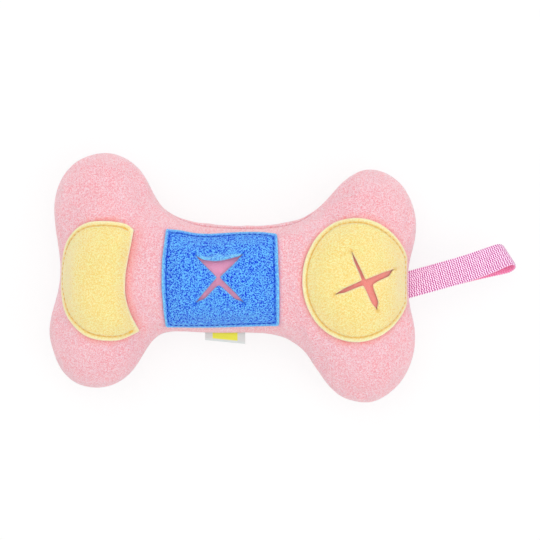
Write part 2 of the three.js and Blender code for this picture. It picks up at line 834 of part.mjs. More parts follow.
function add_round_patch() {
  const centre = new THREE.Vector3(round_patch_x, round_patch_y, 0);
  const limit = notch_limits();
  const edge = [];
  for (let k = 0; k < patch_stations; k++) {
    const angle = -2 * Math.PI * k / patch_stations;
    const x = centre.x + Math.cos(angle) * round_patch_length / 2;
    edge.push(new THREE.Vector3(
      Math.min(x, limit.right),
      centre.y + Math.sin(angle) * round_patch_width / 2,
      0,
    ));
  }
  const { cloth, thread, ups } = patch_rings(edge, [...edge, edge[0]], centre);
  const cross = new THREE.Vector2(round_cut_x, round_cut_y);
  const tips = [0, 1, 2, 3].map((k) => {
    const angle = Math.PI / 4 + k * Math.PI / 2 + round_cut_turn;
    return cross.clone().add(new THREE.Vector2(
      Math.cos(angle) * round_cut_span / 2,
      Math.sin(angle) * round_cut_span / 2,
    ));
  });
  const cut = solid(cloth).subtract(cross_cutter(cross, tips, round_cut_slits));
  add('round_patch', from_solid(cut), yellow_fleece);
  add('round_patch_thread', tube(thread, ups, patch_thread_diameter, true), yellow_thread);
}

// How far along the bone a pocket may reach at the two end notches
function notch_limits() {
  const near = fine.filter((p) => Math.abs(p.y) < bone_width / 4);
  const right = Math.min(...near.filter((p) => p.x > spine_half).map((p) => p.x));
  const left = Math.max(...near.filter((p) => p.x < -spine_half).map((p) => p.x));
  return { left: left + patch_edge_margin, right: right - patch_edge_margin };
}

function add_crescent() {
  const half_x = crescent_length / 2;
  const half_y = crescent_width / 2;
  const centre = new THREE.Vector3(crescent_x, crescent_y, 0);
  const limit = notch_limits();
  const arc_controls = scale_points(crescent_arc_shares, half_x, half_y, centre.x, centre.y);
  const mouth_controls = scale_points(crescent_mouth_shares, half_x, half_y, centre.x, centre.y);
  const arc_curve = new THREE.CatmullRomCurve3(arc_controls, false, 'catmullrom', 0.5);
  const mouth_curve = new THREE.CatmullRomCurve3(mouth_controls, false, 'catmullrom', 0.5);
  const arc_count = Math.round(patch_stations * crescent_arc_share);
  const arc = spaced(arc_curve.getPoints(curve_steps), arc_count);
  const mouth = spaced(mouth_curve.getPoints(curve_steps), patch_stations - arc_count);
  for (const point of arc) point.x = Math.max(point.x, limit.left);
  const edge = [...arc, ...mouth];
  const sewn = [...arc, mouth[0]];
  const { cloth, thread, ups } = patch_rings(edge, sewn, centre);
  add('crescent_pocket', cloth, yellow_fleece);
  const stitches = tube(
    thread.slice(1, arc_count),
    ups.slice(1, arc_count),
    patch_thread_diameter,
    false,
  );
  add('crescent_pocket_thread', stitches, yellow_thread);
}

// A flat band folded to a loop: the run out, the fold and the run back, as stations of a
// path (out, height) in the loop's own plane. It starts clear of its sewn-in tails' round end.
function band_path(length, thickness, opening) {
  const start = thickness / 2 + clearance / 2;
  const first = thickness + clearance;
  const half = opening / 2;
  const turn = half * band_fold_share;
  const path = [];
  for (const share of band_shares) {
    path.push([
      first + share * (length - turn - first),
      start + (half - start) * fade(share),
    ]);
  }
  const out = path.slice();
  for (const angle of fold_angles) {
    out.push([length - turn + turn * Math.cos(angle), half * Math.sin(angle)]);
  }
  return out.concat(path.slice().reverse().map(([x, z]) => [x, -z]));
}

// The band's four corners at each station; bend(out, across, height) sets it in the model
function band(path, width, thickness, bend) {
  const rings = path.map(([out, height], i) => {
    const before = path[Math.max(0, i - 1)];
    const after = path[Math.min(path.length - 1, i + 1)];
    const run = new THREE.Vector2(after[0] - before[0], after[1] - before[1]).normalize();
    const corner = (across, off) => bend(
      out - run.y * off * thickness / 2,
      across * width / 2,
      height + run.x * off * thickness / 2,
    );
    return [corner(-1, -1), corner(1, -1), corner(1, 1), corner(-1, 1)];
  });
  return skin(rings, { capped: true });
}

// The sewn-in ends of a band, pressed together, with a round end that the band turns about
function band_tails(depth, width, thickness, bend) {
  const profile = [[-depth, thickness], [-depth, -thickness]];
  for (const angle of tail_angles) {
    profile.push([thickness * Math.cos(angle), thickness * Math.sin(angle)]);
  }
  const sides = [-width / 2, width / 2];
  const rings = sides.map((across) => profile.map(([out, height]) => bend(out, across, height)));
  return skin(rings, { capped: true });
}

function notch_x(y) {
  const near = stations.filter((s) => s.point.x > spine_half);
  let most = 0;
  for (let i = 1; i < near.length; i++) {
    const a = near[i - 1].point;
    const b = near[i].point;
    if ((a.y - y) * (b.y - y) <= 0) most = a.x + (b.x - a.x) * (y - a.y) / (b.y - a.y);
  }
  return most;
}

const strap_root_x = notch_x(strap_y) + strap_hinge_offset;

function add_strap() {
  const bend = (out, across, height) => {
    const share = out / strap_reach;
    const roll = strap_roll * share * share;
    const side = across * Math.cos(roll) + height * Math.sin(roll);
    const up = height * Math.cos(roll) - across * Math.sin(roll) - strap_sag * share * share;
    const root_shear = Math.tan(strap_angle) * Math.max(0, 1 - out / strap_width);
    const along = out + across * (root_shear - strap_skew * share ** 3);
    return new THREE.Vector3(
      strap_root_x + along * Math.cos(strap_angle) - side * Math.sin(strap_angle),
      strap_y + along * Math.sin(strap_angle) + side * Math.cos(strap_angle),
      seam_height + up,
    );
  };
  const path = band_path(strap_reach, strap_thickness, strap_opening);
  add('strap_loop', band(path, strap_width, strap_thickness, bend), pink_webbing);

  const depth = strap_hinge_offset + seam_roll + seam_allowance / 2;
  const tail_bend = (out, across, height) => new THREE.Vector3(
    strap_root_x + out,
    strap_y + across + out * Math.tan(strap_angle),
    seam_height + height,
  );
  const tail_width = strap_width / Math.cos(strap_angle);
  add('strap_tails', band_tails(depth, tail_width, strap_thickness, tail_bend), pink_webbing);
}

const label_station = stations.filter((s) => s.point.y < 0)
  .reduce((a, b) => (Math.abs(a.point.x - label_x) < Math.abs(b.point.x - label_x) ? a : b));
const label_hinge_y = label_station.point.y - label_hinge_offset;

function add_label() {
  const bend = (out, across, height) => place(label_x + across, label_hinge_y - out, height);
  const opening = 2 * label_thickness + 2 * clearance;
  const path = band_path(label_reach, label_thickness, opening);
  add('side_label', band(path, label_width, label_thickness, bend), woven_label);

  const depth = label_hinge_offset + seam_roll + seam_allowance / 2;
  add('label_tail', band_tails(depth, label_width, label_thickness, bend), woven_label);
}

add_covers();
add_seam_thread();
add_closing_thread();
add_fill();
add_squeaker();
add_square_patch();
add_round_patch();
add_crescent();
add_strap();
add_label();

// The origin is the middle of the whole toy's footprint, on the surface it lies on
const bounds = new THREE.Box3().setFromObject(group);
const middle = bounds.getCenter(new THREE.Vector3());
group.position.set(-middle.x, -middle.y, -bounds.min.z);

export default group;
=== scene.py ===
"""A bone-shaped plush puzzle toy with three sewn-on pockets and a webbing loop, dressed in fleece."""

import json
import math

import bmesh
import bpy
import numpy as np
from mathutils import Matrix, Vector
from mathutils.bvhtree import BVHTree
from mathutils.geometry import delaunay_2d_cdt


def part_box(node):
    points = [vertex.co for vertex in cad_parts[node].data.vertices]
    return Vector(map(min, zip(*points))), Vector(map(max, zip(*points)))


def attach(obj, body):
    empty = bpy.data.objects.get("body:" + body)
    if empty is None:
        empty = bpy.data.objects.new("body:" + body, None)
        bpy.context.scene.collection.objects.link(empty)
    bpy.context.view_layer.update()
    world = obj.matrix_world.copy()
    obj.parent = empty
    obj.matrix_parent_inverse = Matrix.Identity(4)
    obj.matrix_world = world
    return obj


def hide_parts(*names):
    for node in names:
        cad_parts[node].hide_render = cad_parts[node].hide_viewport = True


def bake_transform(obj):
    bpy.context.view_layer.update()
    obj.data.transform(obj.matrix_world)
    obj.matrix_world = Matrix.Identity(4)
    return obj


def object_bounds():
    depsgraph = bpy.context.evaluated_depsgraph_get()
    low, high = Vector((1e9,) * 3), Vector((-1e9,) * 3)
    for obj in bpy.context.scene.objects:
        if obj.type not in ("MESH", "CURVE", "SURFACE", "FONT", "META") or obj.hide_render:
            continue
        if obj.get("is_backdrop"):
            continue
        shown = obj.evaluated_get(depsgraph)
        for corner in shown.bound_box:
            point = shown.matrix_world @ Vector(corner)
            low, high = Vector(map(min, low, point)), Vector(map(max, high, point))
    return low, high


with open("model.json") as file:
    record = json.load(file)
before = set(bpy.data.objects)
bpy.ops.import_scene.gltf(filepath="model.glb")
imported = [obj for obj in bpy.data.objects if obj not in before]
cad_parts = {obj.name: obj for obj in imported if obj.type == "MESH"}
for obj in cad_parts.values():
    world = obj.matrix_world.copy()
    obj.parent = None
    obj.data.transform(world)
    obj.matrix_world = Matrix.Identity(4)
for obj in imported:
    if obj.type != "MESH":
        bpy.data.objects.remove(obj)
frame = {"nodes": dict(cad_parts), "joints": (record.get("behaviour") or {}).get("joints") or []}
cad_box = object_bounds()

bl_info = {
    "name": "Plush Bone Toy",
    "version": (1, 0, 0),
    "blender": (4, 5, 0),
    "location": "View3D > Sidebar > Plush Bone",
    "description": "Dresses a stuffed bone toy in fleece, with sewn pockets, a webbing loop and a label",
    "category": "Add Mesh",
}

MM = 0.001
TOY = "toy"

# The bone's own size, without the loop, and the middle of its outline
bone_length = 221 * MM
bone_width = 151.5 * MM
front_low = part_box("front_panel")[0]
centre_x = front_low.x + bone_length / 2
centre_y = front_low.y + bone_width / 2

# The hinges of the loop and of the label, both at the height of the seam
swing = next(joint for joint in frame["joints"] if joint["name"] == "strap_swing")
flip = next(joint for joint in frame["joints"] if joint["name"] == "label_flip")
seam_height = swing["pos_m"][2]


def length_property(name, description, default):
    return bpy.props.FloatProperty(
        name=name, description=description, default=default, unit="LENGTH", precision=5,
    )


def colour_property(name, description, red, green, blue):
    return bpy.props.FloatVectorProperty(
        name=name,
        description=description,
        default=tuple(linear(channel) for channel in (red, green, blue)),
        subtype="COLOR",
        size=3,
        min=0,
        max=1,
    )


def linear(channel):
    """A screen colour channel from 0 to 255, as the linear value that shaders use."""
    share = channel / 255
    if share <= 0.04045:
        return share / 12.92
    return ((share + 0.055) / 1.055) ** 2.4


class FleeceSettings(bpy.types.PropertyGroup):
    """The fleece and how it is filled."""

    thickness: length_property("Fleece thickness", "Cloth and pile together", 1.6 * MM)
    swell: length_property("Swell", "How far the fill may push the covers out", 1.6 * MM)
    lump_size: length_property("Lump size", "Width of the soft lumps of the fill", 26 * MM)
    lump_height: length_property("Lump height", "How far a lump stands out", 0.7 * MM)
    pucker_size: length_property("Pucker size", "Width of the puckers beside the seam", 7 * MM)
    pucker_height: length_property("Pucker height", "How deep the puckers are", 0.5 * MM)
    groove: length_property("Seam groove", "How deep the seam draws in", 0.7 * MM)
    pink: colour_property("Pink", "Between the curls of the body's pile", 247, 160, 170)
    pink_tips: colour_property("Pink tips", "Where the pile catches the light", 255, 213, 220)
    # Painted highlight at cut edges and the curled petal's crest
    pink_worn: colour_property("Worn pink", "Fluff at cut and turned edges", 255, 228, 232)
    # Painted shade in the seam groove
    pink_pressed: colour_property("Pressed pink", "In the seam", 196, 74, 94)
    # Painted shade under and beside the pockets, reddish under and beside the yellow ones
    pink_sheltered: colour_property("Sheltered pink", "Under the square pocket, unfaded", 238, 156, 194)
    pink_warmed: colour_property("Warmed pink", "Under the yellow pockets, lit through them", 255, 146, 132)
    blue: colour_property("Blue", "Between the curls of the square pocket's pile", 0, 40, 222)
    blue_tips: colour_property("Blue tips", "Where the pile catches the light", 110, 196, 255)
    # Painted highlight at cut edges and the curled petal's crest
    blue_worn: colour_property("Worn blue", "Fluff at cut and turned edges", 138, 218, 250)
    # Painted shade along the stitching and round the cuts' tips
    blue_pressed: colour_property("Pressed blue", "Along the square pocket's stitching", 14, 74, 216)
    yellow: colour_property("Yellow", "Between the curls of the yellow pockets' pile", 250, 209, 112)
    yellow_tips: colour_property("Yellow tips", "Where the pile catches the light", 255, 238, 172)
    # Painted highlight at cut edges
    yellow_worn: colour_property("Worn yellow", "Fluff at cut and turned edges", 255, 245, 208)
    # Painted shade along the stitching and round the cuts' tips
    yellow_pressed: colour_property("Pressed yellow", "Along the yellow pockets' stitching", 240, 186, 88)


class PocketSettings(bpy.types.PropertyGroup):
    """The three pockets and their cross cuts."""

    square_length: length_property("Square length", "Along the bone", 69 * MM)
    square_width: length_property("Square width", "Across the bone", 58 * MM)
    disc_length: length_property("Disc length", "Along the bone", 64.6 * MM)
    disc_width: length_property("Disc width", "Across the bone", 73.2 * MM)
    crescent_length: length_property("Crescent length", "Along the bone", 46.4 * MM)
    crescent_width: length_property("Crescent width", "Across the bone", 70.4 * MM)
    stitch_inset: length_property("Stitch inset", "From the cut edge to the stitching", 3 * MM)
    depth: length_property("Pocket depth", "How far a pocket stands off the body", 6.5 * MM)
    belly: bpy.props.FloatProperty(
        name="Belly", description="Share of a pocket's depth that the stuffed body fills", default=0.94,
        subtype="FACTOR", min=0, max=1,
    )
    rise: length_property("Pocket rise", "How far inside the stitching it is at its full depth", 13 * MM)
    seat: length_property("Seat", "Between the body and the sewn edge", 0.4 * MM)
    cell: length_property("Cell", "Spacing of the cloth's mesh", 1.5 * MM)
    petal_bend: length_property("Petal bend", "Radius that the square's upper petal curls at", 3.7 * MM)


class StitchSettings(bpy.types.PropertyGroup):
    """The sewing thread."""

    length: length_property("Stitch length", "Along the stitching", 2.3 * MM)
    gap: length_property("Stitch gap", "Where the thread dives under", 0.8 * MM)
    thickness: length_property("Thread thickness", "Diameter of the thread", 0.6 * MM)
    pink: colour_property("Pink thread", "Thread of the body", 232, 142, 156)
    blue: colour_property("Blue thread", "Thread of the square pocket", 12, 62, 196)
    yellow: colour_property("Yellow thread", "Thread of the crescent and the disc", 242, 190, 92)


class WebbingSettings(bpy.types.PropertyGroup):
    """The webbing loop."""

    width: length_property("Width", "Across the webbing", 15.8 * MM)
    thickness: length_property("Thickness", "Of one layer", 1.2 * MM)
    reach: length_property("Reach", "From the seam to the fold", 61.4 * MM)
    opening: length_property("Opening", "Between the two runs", 9.5 * MM)
    sag: length_property("Sag", "How far the fold hangs below the seam", 3 * MM)
    rib_pitch: length_property("Rib pitch", "Between two ribs of the weave", 1.4 * MM)
    rib_height: length_property("Rib height", "How far a rib stands out", 0.22 * MM)
    cord_pitch: length_property("Cord pitch", "Between two lengthwise cords of the weave", 1.1 * MM)
    light: colour_property("Light yarn", "The pale yarn", 255, 226, 248)
    dark: colour_property("Dark yarn", "The yarn between", 184, 54, 140)
    inside: colour_property("Inside", "The smoother inner face", 250, 132, 182)


class LabelSettings(bpy.types.PropertyGroup):
    """The small folded side label."""

    width: length_property("Width", "Across the ribbon", 24 * MM)
    reach: length_property("Reach", "From the seam to the fold", 4.4 * MM)
    thickness: length_property("Thickness", "Of one layer", 0.35 * MM)
    ground: colour_property("Ground", "Colour of the ribbon", 214, 222, 220)
    bar: colour_property("Bar", "Colour of the woven bar", 232, 236, 40)


class StageSettings(bpy.types.PropertyGroup):
    """The floor and the camera."""

    distance: length_property("Camera distance", "Over the seam", 1.8)
    frame_width: length_property("Frame width", "How much of the floor's width the camera sees", 0.324)
    floor_size: length_property("Floor size", "Width of the floor", 6.0)


def settings():
    return bpy.context.scene.plush_bone


class PlushBoneSettings(bpy.types.PropertyGroup):
    """All sizes and colours."""

    fleece: bpy.props.PointerProperty(name="Fleece", description="Covers and fill", type=FleeceSettings)
    pockets: bpy.props.PointerProperty(name="Pockets", description="Sewn-on pockets", type=PocketSettings)
    stitches: bpy.props.PointerProperty(name="Stitches", description="Sewing thread", type=StitchSettings)
    webbing: bpy.props.PointerProperty(name="Webbing", description="Loop", type=WebbingSettings)
    label: bpy.props.PointerProperty(name="Label", description="Side label", type=LabelSettings)
    stage: bpy.props.PointerProperty(name="Stage", description="Floor and camera", type=StageSettings)


# Modelling

def pick(obj):
    """Leaves object mode with only this object selected and active."""
    if bpy.context.object and bpy.context.object.mode != "OBJECT":
        bpy.ops.object.mode_set(mode="OBJECT")
    bpy.ops.object.select_all(action="DESELECT")
    obj.select_set(True)
    bpy.context.view_layer.objects.active = obj
    return obj


def apply(obj, kind, **values):
    """Adds a modifier with these settings and applies it."""
    modifier = obj.modifiers.new(kind.title(), kind)
    for key, value in values.items():
        setattr(modifier, key, value)
    pick(obj)
    bpy.ops.object.modifier_apply(modifier=modifier.name)
    return obj


def subdivide(obj, levels):
    return apply(obj, "SUBSURF", levels=levels, render_levels=levels, boundary_smooth="ALL")


def smooth(obj):
    pick(obj)
    bpy.ops.object.shade_smooth()
    return obj


def points_of(obj):
    flat = np.empty(len(obj.data.vertices) * 3, np.float32)
    obj.data.vertices.foreach_get("co", flat)
    return flat.reshape(-1, 3).astype(float)


def move_points(obj, points):
    obj.data.vertices.foreach_set("co", points.astype(np.float32).ravel())
    obj.data.update()


def normals_of(obj):
    flat = np.empty(len(obj.data.vertices) * 3, np.float32)
    obj.data.vertices.foreach_get("normal", flat)
    return flat.reshape(-1, 3).astype(float)


def new_piece(name, points, faces):
    mesh = bpy.data.meshes.new(name)
    mesh.from_pydata([tuple(point) for point in points], [], [tuple(face) for face in faces])
    mesh.update()
    obj = bpy.data.objects.new(name, mesh)
    bpy.context.scene.collection.objects.link(obj)
    return obj


def mark(obj, name, values):
    """Keeps a number for each point of the mesh, for its material to read."""
    layer = obj.data.attributes.new(name, "FLOAT", "POINT")
    layer.data.foreach_set("value", np.asarray(values, np.float32))
    return obj


def merged_copy(node, name):
    """A copy of a CAD node's mesh with its loose triangles merged."""
    obj = bpy.data.objects.new(name, frame["nodes"][node].data.copy())
    bpy.context.scene.collection.objects.link(obj)
    obj.data.materials.clear()
    pick(obj)
    bpy.ops.object.mode_set(mode="EDIT")
    bpy.ops.mesh.select_mode(type="FACE")
    bpy.ops.mesh.select_all(action="SELECT")
    bpy.ops.mesh.remove_doubles(threshold=0.002 * MM)
    bpy.ops.mesh.select_all(action="DESELECT")
    bpy.ops.object.mode_set(mode="OBJECT")
    return obj


def tree_of(obj):
    corners = [vert.co for vert in obj.data.vertices]
    return BVHTree.FromPolygons(corners, [tuple(face.vertices) for face in obj.data.polygons])


WAVES = 9


def wave_noise(points, size, seed):
    """Smooth noise about 0 at each point: a sum of waves, mostly from -1 to 1."""
    random = np.random.default_rng(seed * 1000 + 7)
    total = np.zeros(len(points))
    for _ in range(WAVES):
        direction = random.normal(size=3)
        direction /= np.linalg.norm(direction)
        bend = random.uniform(0.7, 1.5)
        total += np.sin(points @ direction * (math.pi * bend / size) + random.uniform(0, 6.283))
    return total / math.sqrt(WAVES)


def fade(value):
    """From 0 to 1 as the value does, with soft ends."""
    share = np.clip(value, 0, 1)
    return share * share * (3 - 2 * share)


def bell(distance, reach, power=2):
    """1 at no distance, fading out past the reach."""
    return np.exp(-(distance / reach) ** power)


# Outlines of the pockets, in shares of half their length and half their width

CRESCENT_ARC_SHARES = (
    (0.88, 0.85), (0.59, 0.96), (0.03, 1.00), (-0.40, 0.95), (-0.74, 0.76), (-0.93, 0.47),
    (-1.00, 0.0), (-0.93, -0.42), (-0.74, -0.69), (-0.40, -0.91), (0.03, -1.00), (0.51, -0.99),
    (1.00, -0.84),
)
CRESCENT_MOUTH_SHARES = (
    (1.00, -0.84), (0.81, -0.60), (0.68, -0.29), (0.66, 0.02), (0.72, 0.30), (0.88, 0.85),
)
SQUARE_CORNER_SHARES = ((-0.94, 0.99), (0.985, 0.885), (1.02, -0.96), (-0.95, -0.985))

# How far each side of the square bows out, from corner to corner, clockwise from the top
SQUARE_BOWS = (
    (0, -0.6 * MM, -1.8 * MM, -1.9 * MM, -1.2 * MM, -0.3 * MM, 0.3 * MM, 0.5 * MM, 0),
    (0, 0.2 * MM, 0.3 * MM, 0.4 * MM, 0.5 * MM, 0.5 * MM, 0.4 * MM, 0.2 * MM, 0),
    (0, 0, 0.1 * MM, 0.25 * MM, 0.4 * MM, 0.45 * MM, 0.35 * MM, 0.2 * MM, 0),
    (0, 0.7 * MM, 1.4 * MM, 1.9 * MM, 2.1 * MM, 2.0 * MM, 1.5 * MM, 0.7 * MM, 0),
)

# Centres of the pockets and of their cross cuts, from the middle of the bone
SQUARE_PLACE = (-7 * MM, -0.6 * MM)
DISC_PLACE = (73.6 * MM, -1.8 * MM)
CRESCENT_PLACE = (-78.2 * MM, -2 * MM)
SQUARE_CROSS = (-7.9 * MM, 0.0 * MM)
DISC_CROSS = (77.9 * MM, -2.5 * MM)

# Tips of the cuts, from the middle of their cross
SQUARE_TIPS = (
    (-13.5 * MM, 12.5 * MM), (14.6 * MM, 13.3 * MM), (15.1 * MM, -14.6 * MM), (-13.3 * MM, -14.7 * MM),
)
DISC_TIPS = (
    (-7.4 * MM, 17.3 * MM), (17.3 * MM, 7.3 * MM), (7.3 * MM, -17.1 * MM), (-17.2 * MM, -7.6 * MM),
)

# The curled petal's radius along the line between its tips, in shares of its largest
PETAL_PLACES = (0.0, 0.12, 0.28, 0.45, 0.62, 0.78, 0.9, 1.0)
PETAL_SHARES = (0.35, 0.66, 0.92, 1.0, 0.86, 0.6, 0.4, 0.25)

# How far each petal, clockwise from the top, draws back from the middle of the cross and lifts
SQUARE_DRAWS = (0.0, 0.6 * MM, 3.3 * MM, 0.6 * MM)
SQUARE_LIFTS = (0.0, 0.5 * MM, 0.9 * MM, 0.5 * MM)
DISC_DRAWS = (0.8 * MM, 3.9 * MM, 2.0 * MM, 1.3 * MM)
DISC_LIFTS = (0.5 * MM, 0.4 * MM, 0.6 * MM, 0.4 * MM)


def spline(points, steps, closed=False):
    """Points along a Catmull-Rom curve."""
    count = len(points)
    result = []
    spans = count if closed else count - 1
    for i in range(spans):
        near = []
        for k in (i - 1, i, i + 1, i + 2):
            near.append(np.array(points[k % count if closed else min(max(k, 0), count - 1)], float))
        a, b, c, d = near
        for step in range(steps):
            t = step / steps
            result.append(0.5 * (
                2 * b + (c - a) * t
                + (2 * a - 5 * b + 4 * c - d) * t ** 2
                + (3 * b - a - 3 * c + d) * t ** 3
            ))
    if not closed:
        result.append(np.array(points[-1], float))
    return np.array(result)


def spaced(points, step, closed=False):
    """The same line with evenly spaced points, about a step apart."""
    line = closed_line(points) if closed else points
    along = np.concatenate([[0], np.cumsum(np.linalg.norm(np.diff(line, axis=0), axis=1))])
    count = max(3, round(along[-1] / step))
    goals = np.linspace(0, along[-1], count + 1)
    goals = goals[:-1] if closed else goals
    return np.stack([np.interp(goals, along, line[:, k]) for k in range(line.shape[1])], axis=1)


def inset(outline, distance):
    """A closed outline moved inward, with its corners kept."""
    turned = np.roll(outline, -1, axis=0)
    area = (outline[:, 0] * turned[:, 1] - turned[:, 0] * outline[:, 1]).sum()
    distance = np.asarray(distance)[..., None] * -math.copysign(1, area)
    before = outline - np.roll(outline, 1, axis=0)
    after = np.roll(outline, -1, axis=0) - outline
    before /= np.linalg.norm(before, axis=1, keepdims=True)
    after /= np.linalg.norm(after, axis=1, keepdims=True)
    normal = np.stack([before[:, 1] + after[:, 1], -before[:, 0] - after[:, 0]], axis=1)
    normal /= np.linalg.norm(normal, axis=1, keepdims=True)
    square = np.maximum(0.6, (normal * np.stack([before[:, 1], -before[:, 0]], axis=1)).sum(axis=1))
    return outline + normal / square[:, None] * distance


def inside(points, outline):
    """Which points lie inside a closed outline."""
    result = np.zeros(len(points), bool)
    for a, b in zip(outline, np.roll(outline, -1, axis=0)):
        crosses = (a[1] > points[:, 1]) != (b[1] > points[:, 1])
        rise = b[1] - a[1] if b[1] != a[1] else 1
        result ^= crosses & (points[:, 0] < (b[0] - a[0]) * (points[:, 1] - a[1]) / rise + a[0])
    return result


def closed_line(outline):
    return np.vstack([outline, outline[:1]])


def line_distance(points, line):
    """The least distance from each point to a line of points."""
    least = np.full(len(points), np.inf)
    for a, b in zip(line[:-1], line[1:]):
        along = b - a
        share = np.clip(((points - a) @ along) / (along @ along), 0, 1)
        least = np.minimum(least, np.linalg.norm(points - a - share[:, None] * along, axis=1))
    return least


def outline_distance(points, outline):
    """The least distance from each point to a closed outline."""
    return line_distance(points, closed_line(outline))


def mean_distance(points, line):
    """The mean distance from each point to a sewn line, over the directions that see it."""
    total = np.zeros(len(points))
    for a, b in zip(line[:-1], line[1:]):
        length = np.linalg.norm(b - a)
        along = (b - a) / length
        start = (a - points) @ along
        off = np.maximum(np.abs((a - points) @ np.array([along[1], -along[0]])), 0.003 * MM)
        total += (np.arctan((start + length) / off) - np.arctan(start / off)) / off
    return math.pi / total


def at_place(shares, length, width, place):
    half = np.array([length / 2, width / 2])
    return np.array(shares) * half + np.array(place) + np.array([centre_x, centre_y])


def square_outline():
    pockets = settings().pockets
    corners = at_place(SQUARE_CORNER_SHARES, pockets.square_length, pockets.square_width, SQUARE_PLACE)
    points = []
    for i, corner in enumerate(corners):
        following = corners[(i + 1) % 4]
        out = np.array([corner[1] - following[1], following[0] - corner[0]])
        out /= np.linalg.norm(out)
        bows = spline([(bow,) for bow in SQUARE_BOWS[i]], 5)[:, 0]
        for t, bow in zip(np.linspace(0, 1, len(bows))[:-1], bows):
            points.append(corner + (following - corner) * t + out * bow)
    return np.array(points)


def disc_outline():
    pockets = settings().pockets
    angles = -np.linspace(0, 2 * math.pi, 160, endpoint=False)
    shares = np.stack([np.cos(angles), np.sin(angles)], axis=1)
    points = at_place(shares, pockets.disc_length, pockets.disc_width, DISC_PLACE)
    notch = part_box("round_patch")[1].x - 1.6 * MM
    points[:, 0] = np.minimum(points[:, 0], notch)
    return points


def crescent_lines():
    """The sewn arc and the open mouth of the crescent."""
    pockets = settings().pockets
    size = pockets.crescent_length, pockets.crescent_width
    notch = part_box("crescent_pocket")[0].x
    arc = spline(at_place(CRESCENT_ARC_SHARES, *size, CRESCENT_PLACE), 12)
    arc[:, 0] = np.maximum(arc[:, 0], notch)
    mouth = spline(at_place(CRESCENT_MOUTH_SHARES, *size, CRESCENT_PLACE), 12)
    return arc, mouth


# Covers

def outer_sheet(node, name, side):
    """The outside of a cover, with its turned-in edge, as an open sheet of four-sided faces."""
    obj = merged_copy(node, name)
    outermost = max(obj.data.polygons, key=lambda face: side * face.center.z)
    outermost.select = True
    bpy.ops.object.mode_set(mode="EDIT")
    bpy.ops.mesh.faces_select_linked_flat(sharpness=math.radians(70))
    bpy.ops.mesh.select_all(action="INVERT")
    bpy.ops.mesh.delete(type="FACE")
    bpy.ops.mesh.select_all(action="SELECT")
    bpy.ops.mesh.tris_convert_to_quads(face_threshold=math.radians(60), shape_threshold=math.radians(180))
    bpy.ops.object.mode_set(mode="OBJECT")
    return obj


def edge_distance(obj):
    """How far each point of an open sheet is from its border."""
    mesh = bmesh.new()
    mesh.from_mesh(obj.data)
    border = np.array([v.co for v in mesh.verts if v.is_boundary])
    mesh.free()
    points = points_of(obj)
    least = np.full(len(points), np.inf)
    for start in range(0, len(border), 50):
        part = border[start:start + 50]
        least = np.minimum(least, np.linalg.norm(points[:, None] - part[None], axis=2).min(axis=1))
    return least


def fill_out(obj, held, most):
    """Presses a sheet outward with a cloth simulation. Held is 1 where it is sewn down, and most is
    how far each point may move."""
    rest = points_of(obj)
    group = obj.vertex_groups.new(name="held")
    for index, weight in enumerate(held):
        if weight > 0:
            group.add([index], float(weight), "REPLACE")
    cloth = obj.modifiers.new("Cloth", "CLOTH")
    made = cloth.settings
    made.quality = 6
    made.mass = 0.002
    made.tension_stiffness = 8
    made.compression_stiffness = 8
    made.shear_stiffness = 4
    made.bending_stiffness = 0.02
    made.tension_damping = 4
    made.compression_damping = 4
    made.shear_damping = 4
    made.use_pressure = True
    made.uniform_pressure_force = FILL_PRESSURE
    made.shrink_min = -FILL_GROWTH
    made.vertex_group_mass = "held"
    made.effector_weights.gravity = 0
    cloth.point_cache.frame_start = 1
    cloth.point_cache.frame_end = FILL_FRAMES
    for frame_number in range(1, FILL_FRAMES + 1):
        bpy.context.scene.frame_set(frame_number)
    pick(obj)
    bpy.ops.object.modifier_apply(modifier=cloth.name)
    bpy.context.scene.frame_set(1)
    move = points_of(obj) - rest
    length = np.linalg.norm(move, axis=1, keepdims=True)
    move *= np.minimum(1, most[:, None] / np.maximum(length, 1e-9))
    move_points(obj, rest + move)
    obj.vertex_groups.clear()
    return obj


def crescent_outline():
    arc, mouth = crescent_lines()
    return np.vstack([arc[:-1], mouth[:-1]])


def pocket_lines():
    """Each pocket's outline and the part of it that is sewn."""
    whole = [(outline, closed_line(outline)) for outline in (square_outline(), disc_outline())]
    return (*whole, (crescent_outline(), crescent_lines()[0]))


# How far beside each pocket's edge the painted shade under it still reaches, and how much
POCKET_SHADE_SPREADS = (0.8 * MM, 1.8 * MM, 0.9 * MM)
BESIDE_SHARE = 0.6

# The same beside the crescent's open mouth, starting some way from its sewn arc
MOUTH_SPREAD = 4.2 * MM
MOUTH_SHARE = 0.7
MOUTH_START = 6 * MM


def pocket_shade(flat):
    """Painted shade on the body: 1 under the square pocket, then under the yellow ones, fading out beside each,
    with a painted shadow beside the crescent's mouth.
    """
    under = []
    for (outline, _), spread in zip(pocket_lines(), POCKET_SHADE_SPREADS):
        away = np.where(inside(flat, outline), 0, outline_distance(flat, outline))
        under.append(bell(away, spread) * np.where(away > 0, BESIDE_SHARE, 1))
    arc, mouth = crescent_lines()
    beside = bell(line_distance(flat, mouth), MOUTH_SPREAD) * MOUTH_SHARE
    beside *= fade(line_distance(flat, arc) / MOUTH_START)
    return under[0], np.maximum.reduce([under[1], under[2], beside])


# How far from a pocket's edge the body under it stands up fully
BELLY_START = 9 * MM


def belly_rise(flat):
    """How far the stuffed body stands up into the pockets."""
    rise = np.zeros(len(flat))
    for outline, sewn in pocket_lines():
        within = inside(flat, outline)
        swell = lift_over(flat[within], sewn)
        mouth_fade = fade(outline_distance(flat[within], outline) / BELLY_START)
        rise[within] = settings().pockets.belly * swell * mouth_fade
    return rise


# How far from its edge a cover is held by the seam, and up to what height by what it lies on
SEWN_REACH = 6.5 * MM
REST_HEIGHT = 0.3 * MM

# The fill's pressure, how much the cloth may grow, and for how many frames it is pressed out
FILL_PRESSURE = 3.0
FILL_GROWTH = 0.02
FILL_FRAMES = 20

